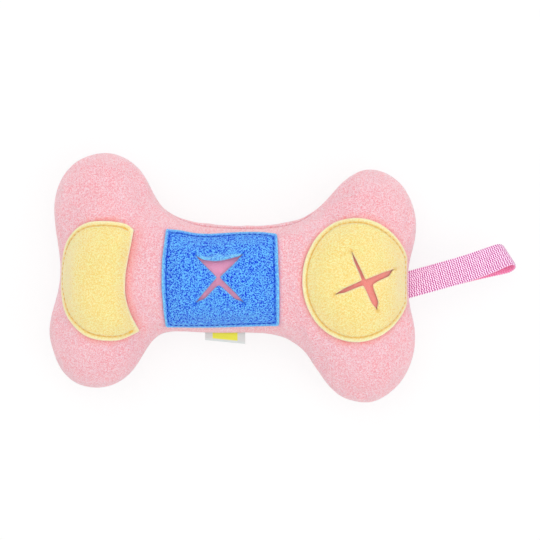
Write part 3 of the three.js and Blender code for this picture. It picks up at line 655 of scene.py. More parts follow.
# Where beside the seam the swell, the puckers and the lumps start, and how far they take to grow
SWELL_START = 9 * MM
SWELL_SPAN = 14 * MM
LEAST_SWELL = 0.05
PUCKER_PLACE = 9 * MM
PUCKER_REACH = 7 * MM
LUMP_START = 5 * MM
LUMP_SPAN = 8 * MM

# How far beside a pocket the cover stays smooth
CALM_REACH = 9 * MM

# How far from the other cover the seam draws in, and how far painted shade darkens the pile in it
DRAW_REACH = 1.5 * MM
SEAM_SHADE_REACH = 1.4 * MM

# Where the covers face each other in the seam, they are closed to this gap
FACING_LEVEL = 0.6
FACING_REACH = 0.5 * MM
FACING_GAP = 0.04 * MM


def make_cover(node, name, side):
    """A cover: the outside of its CAD shell, pressed out by the fill and drawn in at the seam."""
    fleece = settings().fleece
    obj = subdivide(outer_sheet(node, name, side), 2)
    border = edge_distance(obj)
    points = points_of(obj)
    flat = points[:, :2]
    under = np.zeros(len(points), bool)
    if side > 0:
        for outline, _ in pocket_lines():
            under |= inside(flat, outline)
    resting = (points[:, 2] < REST_HEIGHT) if side < 0 else np.zeros(len(points), bool)
    held = np.where((border < SEWN_REACH) | under | resting, 1.0, 0.0)
    share = LEAST_SWELL + (1 - LEAST_SWELL) * fade((border - SWELL_START) / SWELL_SPAN)
    fill_out(obj, held, fleece.swell * share)

    points = points_of(obj)
    other = tree_of(frame["nodes"]["back_panel" if side > 0 else "front_panel"])
    away = np.array([other.find_nearest(Vector(point))[3] for point in points])
    beside = [outline_distance(flat, outline) for outline, _ in pocket_lines()]
    calm = fade(np.min(beside, axis=0) / CALM_REACH) if side > 0 else 1
    free = np.where(under | resting, 0, calm)
    lumps = wave_noise(points, fleece.lump_size, 1) * fleece.lump_height
    near_seam = bell(border - PUCKER_PLACE, PUCKER_REACH)
    puckers = wave_noise(points, fleece.pucker_size, 2) * near_seam * fleece.pucker_height
    rise = fade((border - LUMP_START) / LUMP_SPAN) * free * (lumps + puckers)
    if side > 0:
        rise += belly_rise(flat)
    normals = normals_of(obj)
    drawn_in = bell(away, DRAW_REACH) * fleece.groove
    points += normals * rise[:, None] - normals * (1, 1, 0) * drawn_in[:, None]
    facing = (side * normals[:, 2] < -FACING_LEVEL) & (away < FACING_REACH)
    points[:, 2] -= side * np.where(facing, away / 2 - FACING_GAP, 0)
    points[:, 2] = np.maximum(points[:, 2], 0)
    move_points(obj, points)
    # Painted shade in the seam groove, darkest where the covers meet
    mark(obj, "groove", bell(away, SEAM_SHADE_REACH))
    mark(obj, "rim", np.zeros(len(points)))
    # Painted shade under and beside the pockets
    sheltered, warmed = pocket_shade(flat) if side > 0 else (np.zeros(len(points)),) * 2
    mark(obj, "sheltered", sheltered)
    mark(obj, "warmed", warmed)
    apply(obj, "SOLIDIFY", thickness=fleece.thickness, offset=-1, use_even_offset=False)
    subdivide(obj, 1)
    smooth(obj)
    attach(obj, TOY)
    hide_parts(node)
    return obj


# Pockets

# A pocket starts to rise just inside its stitching, and rises a little more slowly than a sine
LIFT_START_SHARE = 1.05
LIFT_POWER = 1.2


def lift_over(points, sewn):
    """How far a pocket that is sewn along a line stands off the body."""
    pockets = settings().pockets
    past = mean_distance(points, sewn) - pockets.stitch_inset * LIFT_START_SHARE
    return pockets.depth * np.sin(np.clip(past / pockets.rise, 0, 1) * math.pi / 2) ** LIFT_POWER


class Ground:
    """The body under a pocket, seen from above."""

    def __init__(self, obj):
        self.tree = tree_of(obj)

    def height(self, x, y):
        """The body's height; past its edge, the height of the edge's nearest point."""
        hit = self.tree.ray_cast(Vector((x, y, 1.0)), Vector((0, 0, -1)))[0]
        if hit is None:
            hit = self.tree.find_nearest(Vector((x, y, seam_height)))[0]
        return hit.z

    def place(self, points, off, probe=1.5 * MM):
        """Points on the body, moved off it along its own direction."""
        result = np.empty((len(points), 3))
        normals = np.empty((len(points), 3))
        for i, (x, y) in enumerate(points):
            slope_x = (self.height(x + probe, y) - self.height(x - probe, y)) / (2 * probe)
            slope_y = (self.height(x, y + probe) - self.height(x, y - probe)) / (2 * probe)
            normal = np.array([-slope_x, -slope_y, 1.0])
            normals[i] = normal / np.linalg.norm(normal)
            result[i] = (x, y, self.height(x, y))
        return result + normals * np.asarray(off)[:, None], normals


# How much of its inset a point keeps, unless it would cross over at a corner
CLEAN_SHARE = 0.98


def clean_inset(outline, distance):
    """The outline moved inward, without the points that would cross over at a corner."""
    moved = inset(outline, distance)
    return moved[outline_distance(moved, outline) > distance * CLEAN_SHARE]


def arms(cross, tips):
    return [np.array([cross, tip]) for tip in tips]


# Rings of points inside a cloth's edge, beside the one along its stitching, and where its grid ends
RING_INSETS = (0.9 * MM, 2 * MM, 4 * MM, 5.2 * MM)
GRID_INSET = 6.2 * MM

# How near a cut the grid comes, and the spacing of the points along the cut, in cells
CUT_CLEARANCE = 0.6
CUT_STEP = 0.8


def cut_cloth(name, outline, cross=None, tips=()):
    """A flat sheet inside an outline, with fine rings along its edge, split along a cross cut."""
    pockets = settings().pockets
    cell = pockets.cell
    edge = spaced(outline, cell, closed=True)
    rings = [edge]
    for distance in sorted((*RING_INSETS, pockets.stitch_inset)):
        rings.append(clean_inset(edge, distance))
    low, high = outline.min(axis=0), outline.max(axis=0)
    grid = []
    for k, y in enumerate(np.arange(low[1], high[1], cell * math.sqrt(3) / 2)):
        grid += [(x, y) for x in np.arange(low[0] + (k % 2) * cell / 2, high[0], cell)]
    grid = np.array(grid)
    grid = grid[inside(grid, clean_inset(edge, GRID_INSET))]
    points = [tuple(point) for ring in rings for point in ring]
    bound = []
    start = 0
    for ring in rings:
        bound += [(start + i, start + (i + 1) % len(ring)) for i in range(len(ring))]
        start += len(ring)
    if cross is not None:
        middle = len(points)
        points.append(tuple(cross))
        for arm in arms(cross, tips):
            grid = grid[line_distance(grid, arm) > cell * CUT_CLEARANCE]
            previous = middle
            for point in spaced(arm, cell * CUT_STEP)[1:]:
                points.append(tuple(point))
                bound.append((previous, len(points) - 1))
                previous = len(points) - 1
    points += [tuple(point) for point in grid]
    made, _, faces, _, _, _ = delaunay_2d_cdt([Vector(point) for point in points], bound, [], 0, 1e-7)
    made = np.array([tuple(point) for point in made])
    centres = np.array([made[list(face)].mean(axis=0) for face in faces])
    kept = [face for face, inner in zip(faces, inside(centres, edge)) if inner]
    obj = new_piece(name, np.column_stack([made, np.zeros(len(made))]), kept)
    if cross is not None:
        split_cuts(obj, arms(cross, tips))
    return obj


def split_cuts(obj, lines):
    """Parts the cloth along the lines of its cuts."""
    mesh = bmesh.new()
    mesh.from_mesh(obj.data)
    cuts = []
    for edge in mesh.edges:
        ends = np.array([vert.co[:2] for vert in edge.verts])
        if any(line_distance(ends, line).max() < 0.01 * MM for line in lines):
            cuts.append(edge)
    bmesh.ops.split_edges(mesh, edges=cuts)
    loose = [vert for vert in mesh.verts if not vert.link_faces]
    bmesh.ops.delete(mesh, geom=loose, context="VERTS")
    mesh.to_mesh(obj.data)
    mesh.free()
    obj.data.update()


def petal_shares(obj, cross, tips):
    """For each petal, between two neighbouring cuts: how near each point is to the middle of the
    cross, from 0 on the line between the tips to 1."""
    count = len(obj.data.vertices)
    centre_sum = np.zeros((count, 2))
    centre_count = np.zeros(count)
    for face in obj.data.polygons:
        for index in face.vertices:
            centre_sum[index] += face.center[:2]
            centre_count[index] += 1
    towards = centre_sum / np.maximum(centre_count, 1)[:, None] - cross
    points = points_of(obj)[:, :2] - cross
    shares = []
    for i, tip in enumerate(tips):
        following = tips[(i + 1) % len(tips)]
        pair = np.linalg.inv(np.column_stack([tip - cross, following - cross]))
        belongs = (towards @ pair.T > -1e-9).all(axis=1)
        near = 1 - (points @ pair.T).sum(axis=1)
        shares.append(np.where(belongs, np.clip(near, 0, 1), 0))
    return shares


def cross_of(middle, arm_tips):
    """A cross cut's middle and the tips of its arms, in the model."""
    cross = np.array(middle) + np.array([centre_x, centre_y])
    return cross, [cross + np.array(tip) for tip in arm_tips]


# How far round the curled petal may go, and how much lower it lies than a round roll
CURL_MOST = math.radians(170)
CURL_HEIGHT_SHARE = 0.66


def curl(points, share, cross, first, second, radius):
    """Rolls a petal up and back about the line between the tips of its two cuts, tighter towards
    them; also gives how far round each point is."""
    along = (second - first) / np.linalg.norm(second - first)
    out = np.array([-along[1], along[0]])
    height = (cross - first) @ out
    if height < 0:
        out, height = -out, -height
    down = share * height
    beside = (points[:, :2] - first) @ along / np.linalg.norm(second - first)
    radius = radius * np.interp(beside, PETAL_PLACES, PETAL_SHARES)
    turn = np.minimum(down / radius, CURL_MOST)
    straight = down - turn * radius
    reach = radius * np.sin(turn) + straight * np.cos(turn)
    rise = radius * (1 - np.cos(turn)) + straight * np.sin(turn)
    result = points.copy()
    result[:, :2] += out * (reach - down)[:, None]
    result[:, 2] += rise * CURL_HEIGHT_SHARE
    return result, turn


# A petal draws back mostly near the line between its tips, then evenly, and a little more at its end
EARLY_DRAW = 0.85
EARLY_SPAN = 0.42
END_DRAW = 0.3
END_POWER = 8

# The painted highlight on the curled petal's crest: how far round it lies, its spread, and the paler approach
# before it
CREST_PLACE = math.radians(80)
CREST_SPREAD = math.radians(32)
CREST_APPROACH = 1.4
CREST_APPROACH_SHARE = 0.55

# How far beside the stitching and the cut edges the cloth is thinner, and by what share
PINCH_REACH = 0.8 * MM
PINCH_SHARE = 0.68
EDGE_REACH = 0.9 * MM
EDGE_SHARE = 0.45

# How far painted shade darkens the pile beside the stitching and round the cuts' tips
STITCH_SHADE_REACH = 0.6 * MM
TIP_SHADE_REACH = 1.1 * MM

# How far a painted highlight lightens the pile at a cut edge, over the whole border outside the stitching, and
# along a cross cut, from some way past its tip
RIM_REACH = 0.8 * MM
BORDER_REACH = 2.4 * MM
BORDER_SHARE = 0.75
CUT_RIM_SHARE = 0.45
CUT_RIM_START = 5 * MM


def make_pocket(
    name, node, outline, sewn, stitched, slot, cross=None, tips=(), draws=(), lifts=(), curled=False,
):
    """A pocket's cloth: cut flat, parted along its cross, laid on the body and given its thickness."""
    pockets = settings().pockets
    fleece = settings().fleece
    ground = Ground(bpy.data.objects["front_cover"])
    obj = cut_cloth(name, outline, cross, tips)
    flat = points_of(obj)
    extra = np.zeros(len(flat))
    shares = petal_shares(obj, cross, tips) if cross is not None else []
    where = flat[:, :2].copy()
    for i, share in enumerate(shares):
        middle = (tips[i] + tips[(i + 1) % len(tips)]) / 2 - cross
        early = EARLY_DRAW * fade(share / EARLY_SPAN)
        drawn = draws[i] * (early + (1 - EARLY_DRAW) * share + END_DRAW * share ** END_POWER)
        where += drawn[:, None] * middle / np.linalg.norm(middle)
        extra += fade(share) * lifts[i]
    lift = lift_over(where, sewn) * (1 - pockets.belly) + extra
    placed, _ = ground.place(where, pockets.seat + lift)
    crest = np.zeros(len(flat))
    if curled:
        rolled, turn = curl(placed, shares[0], cross, tips[0], tips[1], pockets.petal_bend)
        placed = np.where(shares[0][:, None] > 0, rolled, placed)
        # A painted highlight along the crest of the roll
        crest = bell(turn - CREST_PLACE, CREST_SPREAD) + CREST_APPROACH_SHARE * fade(turn / CREST_APPROACH)
        crest = np.where(shares[0] > 0, np.minimum(crest, 1), 0)
    move_points(obj, placed)
    flat = flat[:, :2]
    from_stitches = line_distance(flat, stitched)
    outer = outline_distance(flat, outline)
    edge = np.min([outer] + [line_distance(flat, arm) for arm in arms(cross, tips)], axis=0)
    # Painted shade along the stitching, and round the cuts' tips below
    groove = bell(from_stitches, STITCH_SHADE_REACH)
    # Painted highlight along the cut edges and the border outside the stitching
    rim = np.maximum(bell(outer, RIM_REACH), BORDER_SHARE * bell(outer, BORDER_REACH, 4))
    if cross is not None:
        from_tip = np.min([np.linalg.norm(flat - tip, axis=1) for tip in tips], axis=0)
        groove = np.maximum(groove, bell(from_tip, TIP_SHADE_REACH))
        rim = np.maximum(rim, CUT_RIM_SHARE * bell(edge, RIM_REACH) * fade(from_tip / CUT_RIM_START))
    mark(obj, "groove", groove)
    mark(obj, "rim", np.maximum(rim, crest))
    group = obj.vertex_groups.new(name="thick")
    thick = 1 - PINCH_SHARE * bell(from_stitches, PINCH_REACH) - EDGE_SHARE * bell(edge, EDGE_REACH)
    for index, amount in enumerate(thick):
        group.add([index], float(amount), "REPLACE")
    apply(obj, "SOLIDIFY", thickness=fleece.thickness, offset=1, vertex_group="thick")
    obj.vertex_groups.clear()
    subdivide(obj, 1)
    smooth(obj)
    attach(obj, TOY)
    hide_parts(node)
    size = outline.max(axis=0) - outline.min(axis=0)
    return obj


# Stitches

# How far a stitch's ends dip, in thicknesses
STITCH_DIP = 0.45


def stitch_shape(length, thickness):
    """One stitch: a short bowed length of thread along X."""
    bpy.ops.mesh.primitive_uv_sphere_add(
        segments=8, ring_count=6, radius=0.5, rotation=(0, math.pi / 2, 0),
    )
    obj = bpy.context.object
    bpy.ops.object.transform_apply(rotation=True)
    points = points_of(obj) * (length, thickness, thickness)
    points[:, 2] -= (points[:, 0] / (length / 2)) ** 2 * thickness * STITCH_DIP
    faces = [tuple(face.vertices) for face in obj.data.polygons]
    bpy.data.objects.remove(obj)
    return points, faces


def lay_copies(name, shape, places):
    """Copies of one shape in one piece; a place is a point and the X, Y and Z directions there."""
    points, faces = shape
    all_points = []
    all_faces = []
    for origin, along, across, up in places:
        start = sum(len(part) for part in all_points)
        all_points.append(points @ np.array([along, across, up]) + origin)
        all_faces += [tuple(start + index for index in face) for face in faces]
    return smooth(new_piece(name, np.vstack(all_points), all_faces))


def along_line(line, pitch):
    """Evenly spaced middles of a line of points, each with its direction."""
    marks = spaced(line, pitch)
    middles = (marks[1:] + marks[:-1]) / 2
    directions = marks[1:] - marks[:-1]
    return middles, directions / np.linalg.norm(directions, axis=1, keepdims=True)


# How high over the body the cloth is looked for, how high a stitch lies where there is none, and
# how far before and after its middle its direction is taken
CLOTH_SEARCH = 4 * MM
CLOTH_HEIGHT = 1 * MM
STITCH_PROBE = 0.6 * MM


def seat_stitches(line, cloth, pitch, sink):
    """Places for stitches along a line of the flat cloth, lying in the cloth on the body."""
    top = tree_of(cloth)
    middles, directions = along_line(line, pitch)
    step = directions * STITCH_PROBE
    flat = np.concatenate([middles - step, middles, middles + step])
    ground = Ground(bpy.data.objects["front_cover"])
    placed, normals = ground.place(flat, np.full(len(flat), CLOTH_SEARCH))
    seats = []
    for point, normal in zip(placed, normals):
        hit = top.ray_cast(Vector(point), -Vector(normal), 2 * CLOTH_SEARCH)[0]
        seats.append(tuple(hit) if hit else point - normal * (CLOTH_SEARCH - CLOTH_HEIGHT))
    before, middle, after = np.split(np.array(seats), 3)
    places = []
    for origin, along, up in zip(middle, after - before, np.split(normals, 3)[1]):
        along = along / np.linalg.norm(along)
        up = up - along * (up @ along)
        up /= np.linalg.norm(up)
        places.append((origin + up * sink, along, np.cross(up, along), up))
    return places


# Bands: the webbing loop and the side label

# How far out a folded band's fold reaches, in halves of its opening
FOLD_SHARE = 1.2


def band_path(depth, first, reach, half_start, opening, step):
    """The middle line of a folded band as (out, height): in its seam, out, round the fold and back."""
    half = opening / 2
    turn = half * FOLD_SHARE
    out = [(-depth, half_start), (0.0, half_start)]
    for share in np.linspace(0, 1, 14):
        height = half_start + (half - half_start) * float(fade(share))
        out.append((first + share * (reach - turn - first), height))
    fold = []
    for angle in np.radians(np.arange(75, -76, -15)):
        fold.append((reach - turn + turn * math.cos(angle), half * math.sin(angle)))
    back = [(x, -z) for x, z in reversed(out)]
    return spaced(spline(np.array(out + fold + back), 6), step)


# The inner face's place in the band's layout, in millimetres across it
INNER = 1000

# How square a band's edges are, the share of its thickness that they keep, and how much of its
# height each rib sticks out sideways
EDGE_POWER = 12
LEAST_THICKNESS = 0.35
RIB_OVERHANG = 0.5


def make_band(name, path, width, thickness, across_count, place, relief):
    """A closed band along a path; place sets (out, across, height) in the model and relief gives
    how far its surface stands out at (across, along)."""
    run = np.gradient(path, axis=0)
    run /= np.linalg.norm(run, axis=1, keepdims=True)
    along = np.concatenate([[0], np.cumsum(np.linalg.norm(np.diff(path, axis=0), axis=1))])
    shares = np.linspace(-1, 1, across_count)
    points = []
    uvs = []
    fold = along[-1] / 2
    for (out, height), (run_out, run_up), length in zip(path, run, along):
        for side in (1, -1):
            for share in (shares if side > 0 else shares[::-1]):
                across = share * width / 2
                edge = math.sqrt(max(0.0, 1 - abs(share) ** EDGE_POWER))
                body = thickness / 2 * (LEAST_THICKNESS + (1 - LEAST_THICKNESS) * edge)
                off = side * (body + relief(across, length) * edge)
                wide = across * (1 + RIB_OVERHANG * relief(0, length) / (width / 2))
                points.append(place(out - run_up * off, wide, height + run_out * off))
                uvs.append((across / MM + (0 if side > 0 else INNER), (length - fold) / MM))
    size = 2 * across_count
    faces = []
    for ring in range(len(path) - 1):
        for i in range(size):
            j = (i + 1) % size
            faces.append((ring * size + i, ring * size + j, (ring + 1) * size + j, (ring + 1) * size + i))
    last = (len(path) - 1) * size
    for i in range(across_count - 1):
        faces.append((i + 1, i, size - 1 - i, size - 2 - i))
        faces.append((last + i, last + i + 1, last + size - 2 - i, last + size - 1 - i))
    obj = new_piece(name, points, faces)
    layer = obj.data.uv_layers.new(name="Weave")
    for loop in obj.data.loops:
        layer.data[loop.index].uv = uvs[loop.vertex_index]
    mesh = bmesh.new()
    mesh.from_mesh(obj.data)
    bmesh.ops.recalc_face_normals(mesh, faces=mesh.faces)
    mesh.to_mesh(obj.data)
    mesh.free()
    return smooth(obj)


# The loop's direction from the bone's length, how far it rolls over and skews towards its fold,
# and how late it rolls
STRAP_ANGLE = math.radians(15.5)
STRAP_ROLL = math.radians(34)
ROLL_POWER = 3.5
STRAP_SKEW_SHARE = 0.2
LABEL_TILT = math.radians(5.5)


def place_strap(out, across, height):
    webbing = settings().webbing
    root_x, root_y, root_z = swing["pos_m"]
    share = max(out, 0) / webbing.reach
    roll = STRAP_ROLL * share ** ROLL_POWER
    side = across * math.cos(roll) + height * math.sin(roll)
    up = height * math.cos(roll) - across * math.sin(roll) - webbing.sag * share * share
    shear = math.tan(STRAP_ANGLE) * min(1, max(0, 1 - out / webbing.width))
    along = out + across * (shear - STRAP_SKEW_SHARE * share ** 3)
    return (
        root_x + along * math.cos(STRAP_ANGLE) - side * math.sin(STRAP_ANGLE),
        root_y + along * math.sin(STRAP_ANGLE) + side * math.cos(STRAP_ANGLE),
        root_z + up,
    )


def place_label(out, across, height):
    root_x, root_y, root_z = flip["pos_m"]
    tilt = math.tan(LABEL_TILT) * across
    return (root_x + across, root_y - out - tilt, root_z + height)


# How far the ribs are shifted from one cord to the next, in ribs
RIB_SHIFT = 0.18


def weave_relief(across, along):
    """How far the webbing's weave stands out at a place across and along it."""
    webbing = settings().webbing
    column = across / webbing.cord_pitch
    shift = RIB_SHIFT * math.sin(math.pi * column)
    rib = 0.5 + 0.5 * math.cos(2 * math.pi * (along / webbing.rib_pitch + shift))
    cord = 0.75 + 0.25 * math.cos(2 * math.pi * column)
    return webbing.rib_height * (rib * cord - 0.5)


def no_relief(across, along):
    return 0.0


# Materials

def connect(tree, slot, value):
    """Links a socket or sets a plain value."""
    if isinstance(value, Value):
        tree.links.new(value.socket, slot)
    elif isinstance(value, bpy.types.NodeSocket):
        tree.links.new(value, slot)
    else:
        slot.default_value = value


class Value:
    """A shader socket that Python's arithmetic can be written on."""

    def __init__(self, tree, socket):
        self.tree = tree
        self.socket = socket

    def math(self, operation, *others):
        node = self.tree.nodes.new("ShaderNodeMath")
        node.operation = operation
        for slot, value in zip(node.inputs, (self, *others)):
            connect(self.tree, slot, value)
        return Value(self.tree, node.outputs[0])

    def __add__(self, other):
        return self.math("ADD", other)

    __radd__ = __add__

    def __sub__(self, other):
        return self.math("SUBTRACT", other)

    def __rsub__(self, other):
        return (self * -1) + other

    def __mul__(self, other):
        return self.math("MULTIPLY", other)

    def sin(self):
        return self.math("SINE")


# Sockets of the Mix node when it mixes colours
MIX_FACTOR, MIX_FIRST, MIX_SECOND, MIX_RESULT = 0, 6, 7, 2


class Nodes:
    """A node tree that is built up from nothing."""

    def __init__(self, tree):
        self.tree = tree
        tree.nodes.clear()

    def node(self, kind, options=None, numbered=None, **named):
        """A node of this kind: its options set first, then its sockets by number or by name."""
        node = self.tree.nodes.new("ShaderNode" + kind)
        for key, value in (options or {}).items():
            setattr(node, key, value)
        for key, value in (numbered or {}).items():
            connect(self.tree, node.inputs[key], value)
        for key, value in named.items():
            connect(self.tree, node.inputs[key.replace("_", " ")], value)
        return node


class Finish(Nodes):
    """A material and the nodes that make it."""

    def __init__(self, name):
        self.material = bpy.data.materials.new(name)
        self.material.use_nodes = True
        super().__init__(self.material.node_tree)
        self.shader = self.node("BsdfPrincipled")
        self.output = self.node("OutputMaterial", Surface=self.shader.outputs[0])

    def noise(self, scale, detail=2.0, roughness=0.5, distortion=0.0):
        """Soft noise over the piece, with this many grains to a metre."""
        node = self.node(
            "TexNoise",
            Vector=self.node("TexCoord").outputs["Object"],
            Scale=scale,
            Detail=detail,
            Roughness=roughness,
            Distortion=distortion,
        )
        return Value(self.tree, node.outputs["Fac"])

    def attribute(self, name):
        return Value(self.tree, self.node("Attribute", {"attribute_name": name}).outputs["Fac"])

    def weave_axes(self):
        """Millimetres across and along a band, as make_band lays them out."""
        uv = self.node("UVMap", {"uv_map": "Weave"}).outputs[0]
        axes = self.node("SeparateXYZ", Vector=uv)
        return Value(self.tree, axes.outputs[0]), Value(self.tree, axes.outputs[1])

    def span(self, value, low, high):
        """The value as 0 at low and 1 at high, held between them."""
        node = self.node("MapRange", {"clamp": True}, Value=value, From_Min=low, From_Max=high)
        return Value(self.tree, node.outputs[0])

    def mix(self, share, first, second):
        sockets = {MIX_FACTOR: share, MIX_FIRST: colour(first), MIX_SECOND: colour(second)}
        return self.node("Mix", {"data_type": "RGBA"}, sockets).outputs[MIX_RESULT]

    def bump(self, height, distance, strength, **normal):
        return self.node("Bump", Height=height, Distance=distance, Strength=strength, **normal).outputs[0]

    def set(self, **values):
        for key, value in values.items():
            connect(self.tree, self.shader.inputs[key.replace("_", " ")], value)
        return self.material


def colour(value):
    if isinstance(value, (Value, bpy.types.NodeSocket)):
        return value
    return (*tuple(value)[:3], 1.0)


def tinted(value, factor, toward=1.0):
    """A colour taken some way towards white, or towards black with toward 0."""
    return tuple(channel + (toward - channel) * factor for channel in tuple(value)[:3])


# Grains to a metre of the pile's finest fibre, of its clumps and of the patches that lie another way
FINE_SCALE = 2900
CLUMP_SCALE = 330
PATCH_SCALE = 38

# How pale those patches are, how deep the clumps are in depths of the pile, and how much of the
# painted shade under and beside the pockets shows
PATCH_SHARE = 0.12
CLUMP_RELIEF = 1.6
POCKET_SHADE_SHARE = 0.85


def fleece_finish(colours, depth, curl_scale, contrast, sheen):
    """Brushed pile: short curls, paler at their tips and deeper between them, with a painted highlight at cut
    edges and painted shade where it is sewn. A low contrast makes its grain hard."""
    fleece = settings().fleece
    finish = Finish(colours + "_pile")
    # The last two colours are painted light: a highlight for rims and shade for grooves
    base, tips, rim_highlight, pressed = (
        tuple(getattr(fleece, colours + part)) for part in ("", "_tips", "_worn", "_pressed")
    )
    curls = finish.noise(curl_scale, 3, 0.6, distortion=0.6)
    fine = finish.noise(FINE_SCALE, 2, 0.6)
    clumps = finish.noise(CLUMP_SCALE, 2, 0.5)
    patches = finish.noise(PATCH_SCALE, 2, 0.5)
    pile = finish.span(curls * 0.86 + fine * 0.12 + clumps * 0.02, 0.5 - contrast, 0.5 + contrast)
    shade = finish.mix(pile, base, tips)
    shade = finish.mix(finish.span(patches, 0.35, 0.65) * PATCH_SHARE, shade, tips)
    # Painted shade under and beside the pockets
    if colours == "pink":
        for look in ("sheltered", "warmed"):
            under = tuple(getattr(fleece, "pink_" + look))
            shade = finish.mix(finish.attribute(look) * POCKET_SHADE_SHARE, shade, under)
    # Painted highlight at the rims and the curled crest
    shade = finish.mix(finish.attribute("rim") * (0.6 + pile * 0.3), shade, rim_highlight)
    # Painted shade in the seam, along the stitching and at the cut tips
    shade = finish.mix(finish.attribute("groove") * (1.0 - pile * 0.2), shade, pressed)
    rough = finish.bump(clumps, depth * CLUMP_RELIEF, 0.35)
    return finish.set(
        Base_Color=shade,
        Roughness=0.95,
        Normal=finish.bump(pile, depth, 0.6, Normal=rough),
        Subsurface_Weight=0.4,
        Subsurface_Radius=(3 * MM, 1.2 * MM, 1.0 * MM),
        Subsurface_Scale=1.0,
        Sheen_Weight=sheen,
        Sheen_Roughness=0.45,
        Sheen_Tint=(*tinted(base, 0.8, 1.0), 1.0),
        Specular_IOR_Level=0.1,
    )


def thread_finish(name, base):
    finish = Finish(name)
    strands = finish.noise(2600, 2, 0.5)
    light = tuple(min(1.0, channel * 1.15) for channel in base)
    shade = finish.mix(finish.span(strands, 0.35, 0.65), tinted(base, 0.2, 0.0), light)
    return finish.set(
        Base_Color=shade,
        Roughness=0.7,
        Normal=finish.bump(strands, 0.1 * MM, 0.6),
        Specular_IOR_Level=0.1,
    )


def webbing_finish():
    """Ribbed webbing: pale floats on the ribs, deeper yarn between them, smoother inside."""
    webbing = settings().webbing
    finish = Finish("webbing_weave")
    across, along = finish.weave_axes()
    inner = finish.span(across, INNER / 2, INNER / 2 + 1)
    column = (across - inner * INNER) * (MM / webbing.cord_pitch)
    along = along * (MM / webbing.rib_pitch)
    shift = (column * math.pi).sin() * RIB_SHIFT
    rib = ((along + shift) * (2 * math.pi) + math.pi / 2).sin() * 0.5 + 0.5
    cord = (column * (2 * math.pi) + math.pi / 2).sin() * 0.5 + 0.5
    wear = finish.noise(700, 3, 0.6)
    pale = finish.span(rib * 0.62 + cord * 0.38 + (wear - 0.5) * 0.5, 0.34, 0.66)
    shade = finish.mix(pale, tuple(webbing.dark), tuple(webbing.light))
    shade = finish.mix(inner * (0.9 - pale * 0.3), shade, tuple(webbing.inside))
    strands = finish.noise(3200, 1, 0.5)
    return finish.set(
        Base_Color=shade,
        Roughness=0.62,
        Normal=finish.bump(strands * 0.4 + pale * 0.6, 0.12 * MM, 0.7),
        Sheen_Weight=0.15,
        Specular_IOR_Level=0.3,
    )


# The plain bar woven into the label, and its threads, in millimetres across and along the ribbon
BAR_LEFT = 7.7
BAR_RIGHT = 7.6
BAR_TOP = 1.5
BAR_EDGE = 0.3
WARP_PITCH = 0.5
WEFT_PITCH = 0.4


def label_finish():
    """Woven ribbon with a plain bar across its middle."""
    label = settings().label
    finish = Finish("ribbon_weave")
    across, along = finish.weave_axes()
    bar = finish.span(across + BAR_LEFT, 0.0, BAR_EDGE) * finish.span(BAR_RIGHT - across, 0.0, BAR_EDGE)
    bar = bar * finish.span(along * -1, BAR_TOP, BAR_TOP + BAR_EDGE)
    warp = (across * (2 * math.pi / WARP_PITCH)).sin() * 0.5 + 0.5
    weft = (along * (2 * math.pi / WEFT_PITCH)).sin() * 0.5 + 0.5
    weave = warp * weft
    ground = finish.mix(weave, tinted(label.ground, 0.12, 0.0), tinted(label.ground, 0.2, 1.0))
    barred = finish.mix(weave, tinted(label.bar, 0.10, 0.0), tinted(label.bar, 0.15, 1.0))
    return finish.set(
        Base_Color=finish.mix(bar, ground, barred),
        Roughness=0.5,
        Normal=finish.bump(weave, 0.05 * MM, 0.6),
        Sheen_Weight=0.1,
    )


def fibre_finish():
    finish = Finish("loose_fibre")
    strands = finish.noise(520, 5, 0.7, distortion=2.5)
    shade = finish.mix(finish.span(strands, 0.3, 0.7), (0.74, 0.73, 0.71), (0.95, 0.95, 0.94))
    return finish.set(
        Base_Color=shade,
        Roughness=1.0,
        Normal=finish.bump(strands, 1.2 * MM, 0.8),
        Sheen_Weight=0.4,
    )


def moulded_finish(name, base, roughness):
    finish = Finish(name)
    flow = finish.noise(160, 3, 0.5)
    shade = finish.mix(finish.span(flow, 0.35, 0.65), tinted(base, 0.06, 0.0), tinted(base, 0.06, 1.0))
    return finish.set(
        Base_Color=shade,
        Roughness=finish.span(flow, 0.0, 1.0) * 0.12 + (roughness - 0.06),
        Normal=finish.bump(finish.noise(1400, 2, 0.5), 0.03 * MM, 0.4),
    )


def paint(obj, material):
    obj.data.materials.clear()
    obj.data.materials.append(material)
    return obj


# Operators

class PLUSH_OT_covers(bpy.types.Operator):
    """Makes the two fleece covers, pressed out by the fill and puckered along the seam"""

    bl_idname = "plush.covers"
    bl_label = "Fleece covers"

    def execute(self, context):
        finish = fleece_finish("pink", 0.4 * MM, 1400, 0.055, 0.6)
        for node, name, side in (("front_panel", "front_cover", 1), ("back_panel", "back_cover", -1)):
            paint(make_cover(node, name, side), finish)
        return {"FINISHED"}


class PLUSH_OT_square_pocket(bpy.types.Operator):
    """Makes the square pocket, with its cross cut and its curled upper petal"""

    bl_idname = "plush.square_pocket"
    bl_label = "Square pocket"

    def execute(self, context):
        outline = square_outline()
        obj = make_pocket(
            "square_pocket", "square_patch", outline, closed_line(outline), stitch_line(outline),
            "blue_fleece", *cross_of(SQUARE_CROSS, SQUARE_TIPS), SQUARE_DRAWS, SQUARE_LIFTS, curled=True,
        )
        paint(obj, fleece_finish("blue", 0.45 * MM, 1350, 0.02, 0.12))
        return {"FINISHED"}


